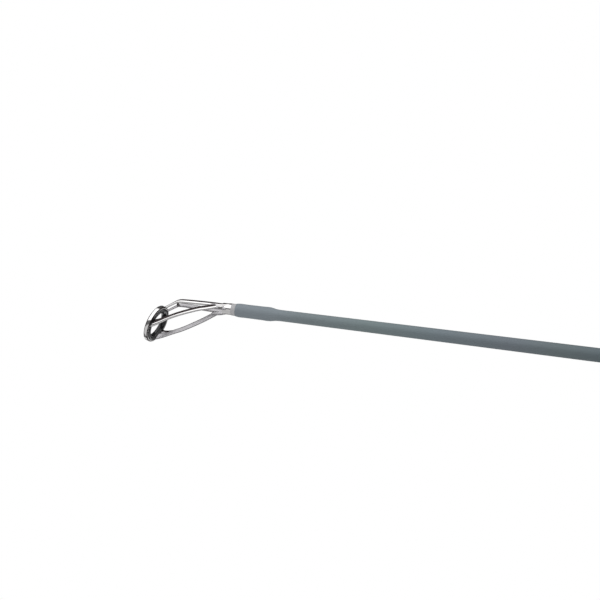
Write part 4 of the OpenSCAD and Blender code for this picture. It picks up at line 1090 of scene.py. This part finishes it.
roller = smooth_curve([(28.62, 3.7), (28.9, 3.88), (29.3, 3.6), (29.8, 3.1), (30.3, 2.98), (30.8, 3.1),
                       (31.3, 3.6), (31.7, 3.88), (31.98, 3.7)], 6)
Builder().lathe([(28.62, 1.62)] + roller + [(31.98, 1.62)], bail_place(18.5, 0, 0), (0, 1, 0), sides=96).piece(
    "line_roller_sleeve", "line_roller", GOLD, "bearing_steel", ["line_roller"])
screw = [(25.9, 0), (25.9, 0.9), (26.15, 1.3)] + smooth_curve([(26.5, 1.55), (27.4, 2.5), (28.1, 3.2)], 4) \
    + [(28.4, 3.4), (28.5, 3.4), (28.5, 1.45), (34.95, 1.45), (34.95, 2.55), (35.5, 2.6), (35.8, 2.2), (35.8, 0.9),
       (35.35, 0.8), (35.35, 0)]
Builder().lathe(screw, bail_place(18.5, 0, 0), (0, 1, 0), sides=72).piece(
    "roller_screw_cone", "bail", STEEL, "polished_steel", ["roller_screw"], sharp=35)

# ---- spool and drag knob

AXLE = (0, 0, ROTOR_Z)
skirt = rounded([(303, 21.3), (303, 22.4), (317, 23), (318, 22.4), (318.5, 16.5), (334, 16), (334, 13), (326, 13),
                 (326, 2), (318, 2), (318, 14.5), (316.6, 21.3)],
                [0.1, 0.4, 0.5, 0.4, 0.8, 0.1, 0.1, 0.2, 0.2, 0.2, 0.5, 0.6], loop=True)
Builder().lathe(skirt, AXLE, sides=192).piece(
    "spool_body", "spool", SPOOL_METAL, "spool_metal", ["spool"], sharp=35)
lip = smooth_curve([(334.02, 16), (334.9, 18.8), (335.6, 21), (336.4, 23), (337.2, 23.4), (338.1, 23.15),
                    (338.5, 22), (338.6, 20), (338.4, 17)], 6)
Builder().lathe([(334.02, 13)] + lip + [(338.2, 15), (338.2, 13.1), (338.0, 13.0)], AXLE, sides=192).piece(
    "spool_lip_ring", "spool", SPOOL_EDGE, "spool_edge", ["spool_lip"], sharp=50)
k0 = 330.8
dial = [(k0, 3), (k0, 11.8), (k0 + 0.2, 12), (k0 + 7, 12), (k0 + 7.3, 11.9)] \
    + [(k0 + 7.6 + 0.2 * k, 11.55 - 0.012 * k * 1.5) for k in range(36)] \
    + smooth_curve([(k0 + 14.9, 10.75), (k0 + 15.3, 10.2), (k0 + 15.5, 9.5)], 5) \
    + [(k0 + 15.5, 8.4), (k0 + 15.1, 8.2), (k0 + 15.0, 6), (k0 + 14.9, 3), (k0 + 14.9, 0)]
Builder().lathe(dial, AXLE, sides=480, shape=flutes(12, 1.5, 2.15, k0 + 7.6, k0 + 99, 2.0, 9.3)).piece(
    "drag_knob_dial", "drag_knob", ANODISED, "reel_dark", ["drag_knob"], sharp=35)

# ---- materials of the solids kept from the CAD

FINISHES = {"polished_steel": STEEL, "ceramic": CERAMIC, "sage_paint": PAINT, "thread_wrap": WRAP,
            "graphite": GRAPHITE,
            "foam_grip": FOAM, "seat_plastic": SEAT, "cap_rubber": RUBBER, "reel_paint": REEL_PAINT,
            "reel_dark": REEL_DARK, "spool_metal": SPOOL_METAL, "spool_edge": SPOOL_EDGE, "bearing_steel": BEARING,
            "brass": BRASS_LOOK, "die_cast": DIE_CAST, "washer_felt": FELT}
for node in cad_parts.values():
    for held in node.material_slots:
        held.material = FINISHES[held.material.name.split(".")[0]]

# ---- camera, light and floor

BACK = Vector((-0.2295, 0.8488, -0.4762)).normalized()
ROLL = math.radians(14.4)
level = Vector((0, 0, 1)).cross(BACK).normalized()
rise = BACK.cross(level)
right = (level * math.cos(ROLL) + rise * math.sin(ROLL)).normalized()
up = BACK.cross(right).normalized()
DISTANCE = 1.5
FRAME_WIDTH = 0.12245

cam_data = bpy.data.cameras.new("camera")
cam_data.sensor_width = 36
cam_data.lens = 36 * DISTANCE / FRAME_WIDTH
cam_data.clip_start, cam_data.clip_end = 0.01, 100
cam = bpy.data.objects.new("camera", cam_data)
bpy.context.scene.collection.objects.link(cam)
cam.location = Vector((TUBE_FRONT * MM, 0, 0)) + right * 0.01574 + up * 0.00171 + BACK * DISTANCE
cam.rotation_euler = Matrix((right, up, BACK)).transposed().to_euler()
bpy.context.scene.camera = cam
bpy.context.scene.view_settings.view_transform = "Standard"
bpy.context.scene.view_settings.look = "None"

world = bpy.data.worlds.new("studio")
bpy.context.scene.world = world
world.use_nodes = True
wt = world.node_tree
wt.nodes.clear()


def sky_node(kind, inputs=(), links=()):
    """Adds a node to the world; inputs are (socket, value) and links are (socket, output that feeds it)."""
    made = wt.nodes.new(kind)
    for socket, value in inputs:
        made.inputs[socket].default_value = value
    for socket, output in links:
        wt.links.new(output, made.inputs[socket])
    return made


WHITE = (1, 1, 1, 1)
SKY = [(-1.0, 0.36), (-0.7, 0.44), (-0.58, 0.46), (-0.53, 0.10), (-0.22, 0.10), (-0.15, 0.95), (0.1, 1.0),
       (1.0, 1.0)]
CEILING_WAY = (0.10, -0.62, 0.78)
paths = sky_node("ShaderNodeLightPath")
looking = sky_node("ShaderNodeTexCoord").outputs["Generated"]
parts = sky_node("ShaderNodeSeparateXYZ", links=[(0, looking)])
spread = sky_node("ShaderNodeMapRange", [("From Min", -1)], [("Value", parts.outputs["Z"])])
sky = sky_node("ShaderNodeValToRGB", links=[("Fac", spread.outputs["Result"])])
elements = sky.color_ramp.elements
while len(elements) < len(SKY):
    elements.new(0.5)
for element, (z, value) in zip(elements, SKY):
    element.position = (z + 1) / 2
    element.color = (value, value, value * 1.01, 1)
# Dark ceiling behind the object, which draws the dark lines along the steel's upper edges
behind = sky_node("ShaderNodeVectorMath", [(1, CEILING_WAY)], [(0, looking)])
behind.operation = "DOT_PRODUCT"
shade = sky_node("ShaderNodeMapRange",
                 [("From Min", 0.54), ("From Max", 0.66), ("To Min", 1.45), ("To Max", 0.08)],
                 [("Value", behind.outputs["Value"])])
glossy = sky_node("ShaderNodeBackground",
                  links=[("Strength", shade.outputs["Result"]), ("Color", sky.outputs["Color"])])
white = sky_node("ShaderNodeBackground", [("Color", WHITE)])
soft = sky_node("ShaderNodeBackground", [("Color", WHITE), ("Strength", 0.72)])
pick_soft = sky_node("ShaderNodeMixShader", links=[
    (0, paths.outputs["Is Glossy Ray"]), (1, soft.outputs[0]), (2, glossy.outputs[0])])
pick = sky_node("ShaderNodeMixShader", links=[
    (0, paths.outputs["Is Camera Ray"]), (1, pick_soft.outputs[0]), (2, white.outputs[0])])
sky_node("ShaderNodeOutputWorld", links=[("Surface", pick.outputs[0])])

LIGHT_WAY = Vector((-0.1, 0.8, 0.75)).normalized()
LIGHT_DISTANCE, LIGHT_SIZE, LIGHT_POWER = 3.0, 1.6, 30
key_data = bpy.data.lights.new("key", "AREA")
key_data.shape = "DISK"
key_data.size = LIGHT_SIZE
key_data.energy = LIGHT_POWER
key = bpy.data.objects.new("key", key_data)
bpy.context.scene.collection.objects.link(key)
key.location = Vector((TUBE_FRONT * MM, 0, 0)) + LIGHT_WAY * LIGHT_DISTANCE
key.rotation_euler = LIGHT_WAY.to_track_quat("Z", "Y").to_euler()
key.visible_camera = False
key.visible_glossy = False

floor_mesh = bpy.data.meshes.new("floor")
floor_mesh.from_pydata([(x, y, -1.0) for x, y in ((-30, -30), (30, -30), (30, 30), (-30, 30))],
                       [], [(0, 1, 2, 3)])
floor = bpy.data.objects.new("floor", floor_mesh)
bpy.context.scene.collection.objects.link(floor)
fm = bpy.data.materials.new("floor")
fm.use_nodes = True
ft = fm.node_tree
principled = ft.nodes["Principled BSDF"]
principled.inputs["Base Color"].default_value = (0.86, 0.86, 0.86, 1)
principled.inputs["Roughness"].default_value = 0.9
geometry = ft.nodes.new("ShaderNodeNewGeometry")
clear = ft.nodes.new("ShaderNodeBsdfTransparent")
mix = ft.nodes.new("ShaderNodeMixShader")
ft.links.new(geometry.outputs["Backfacing"], mix.inputs[0])
ft.links.new(principled.outputs[0], mix.inputs[1])
ft.links.new(clear.outputs[0], mix.inputs[2])
ft.links.new(mix.outputs[0], ft.nodes["Material Output"].inputs["Surface"])
floor_mesh.materials.append(fm)
floor.visible_glossy = False
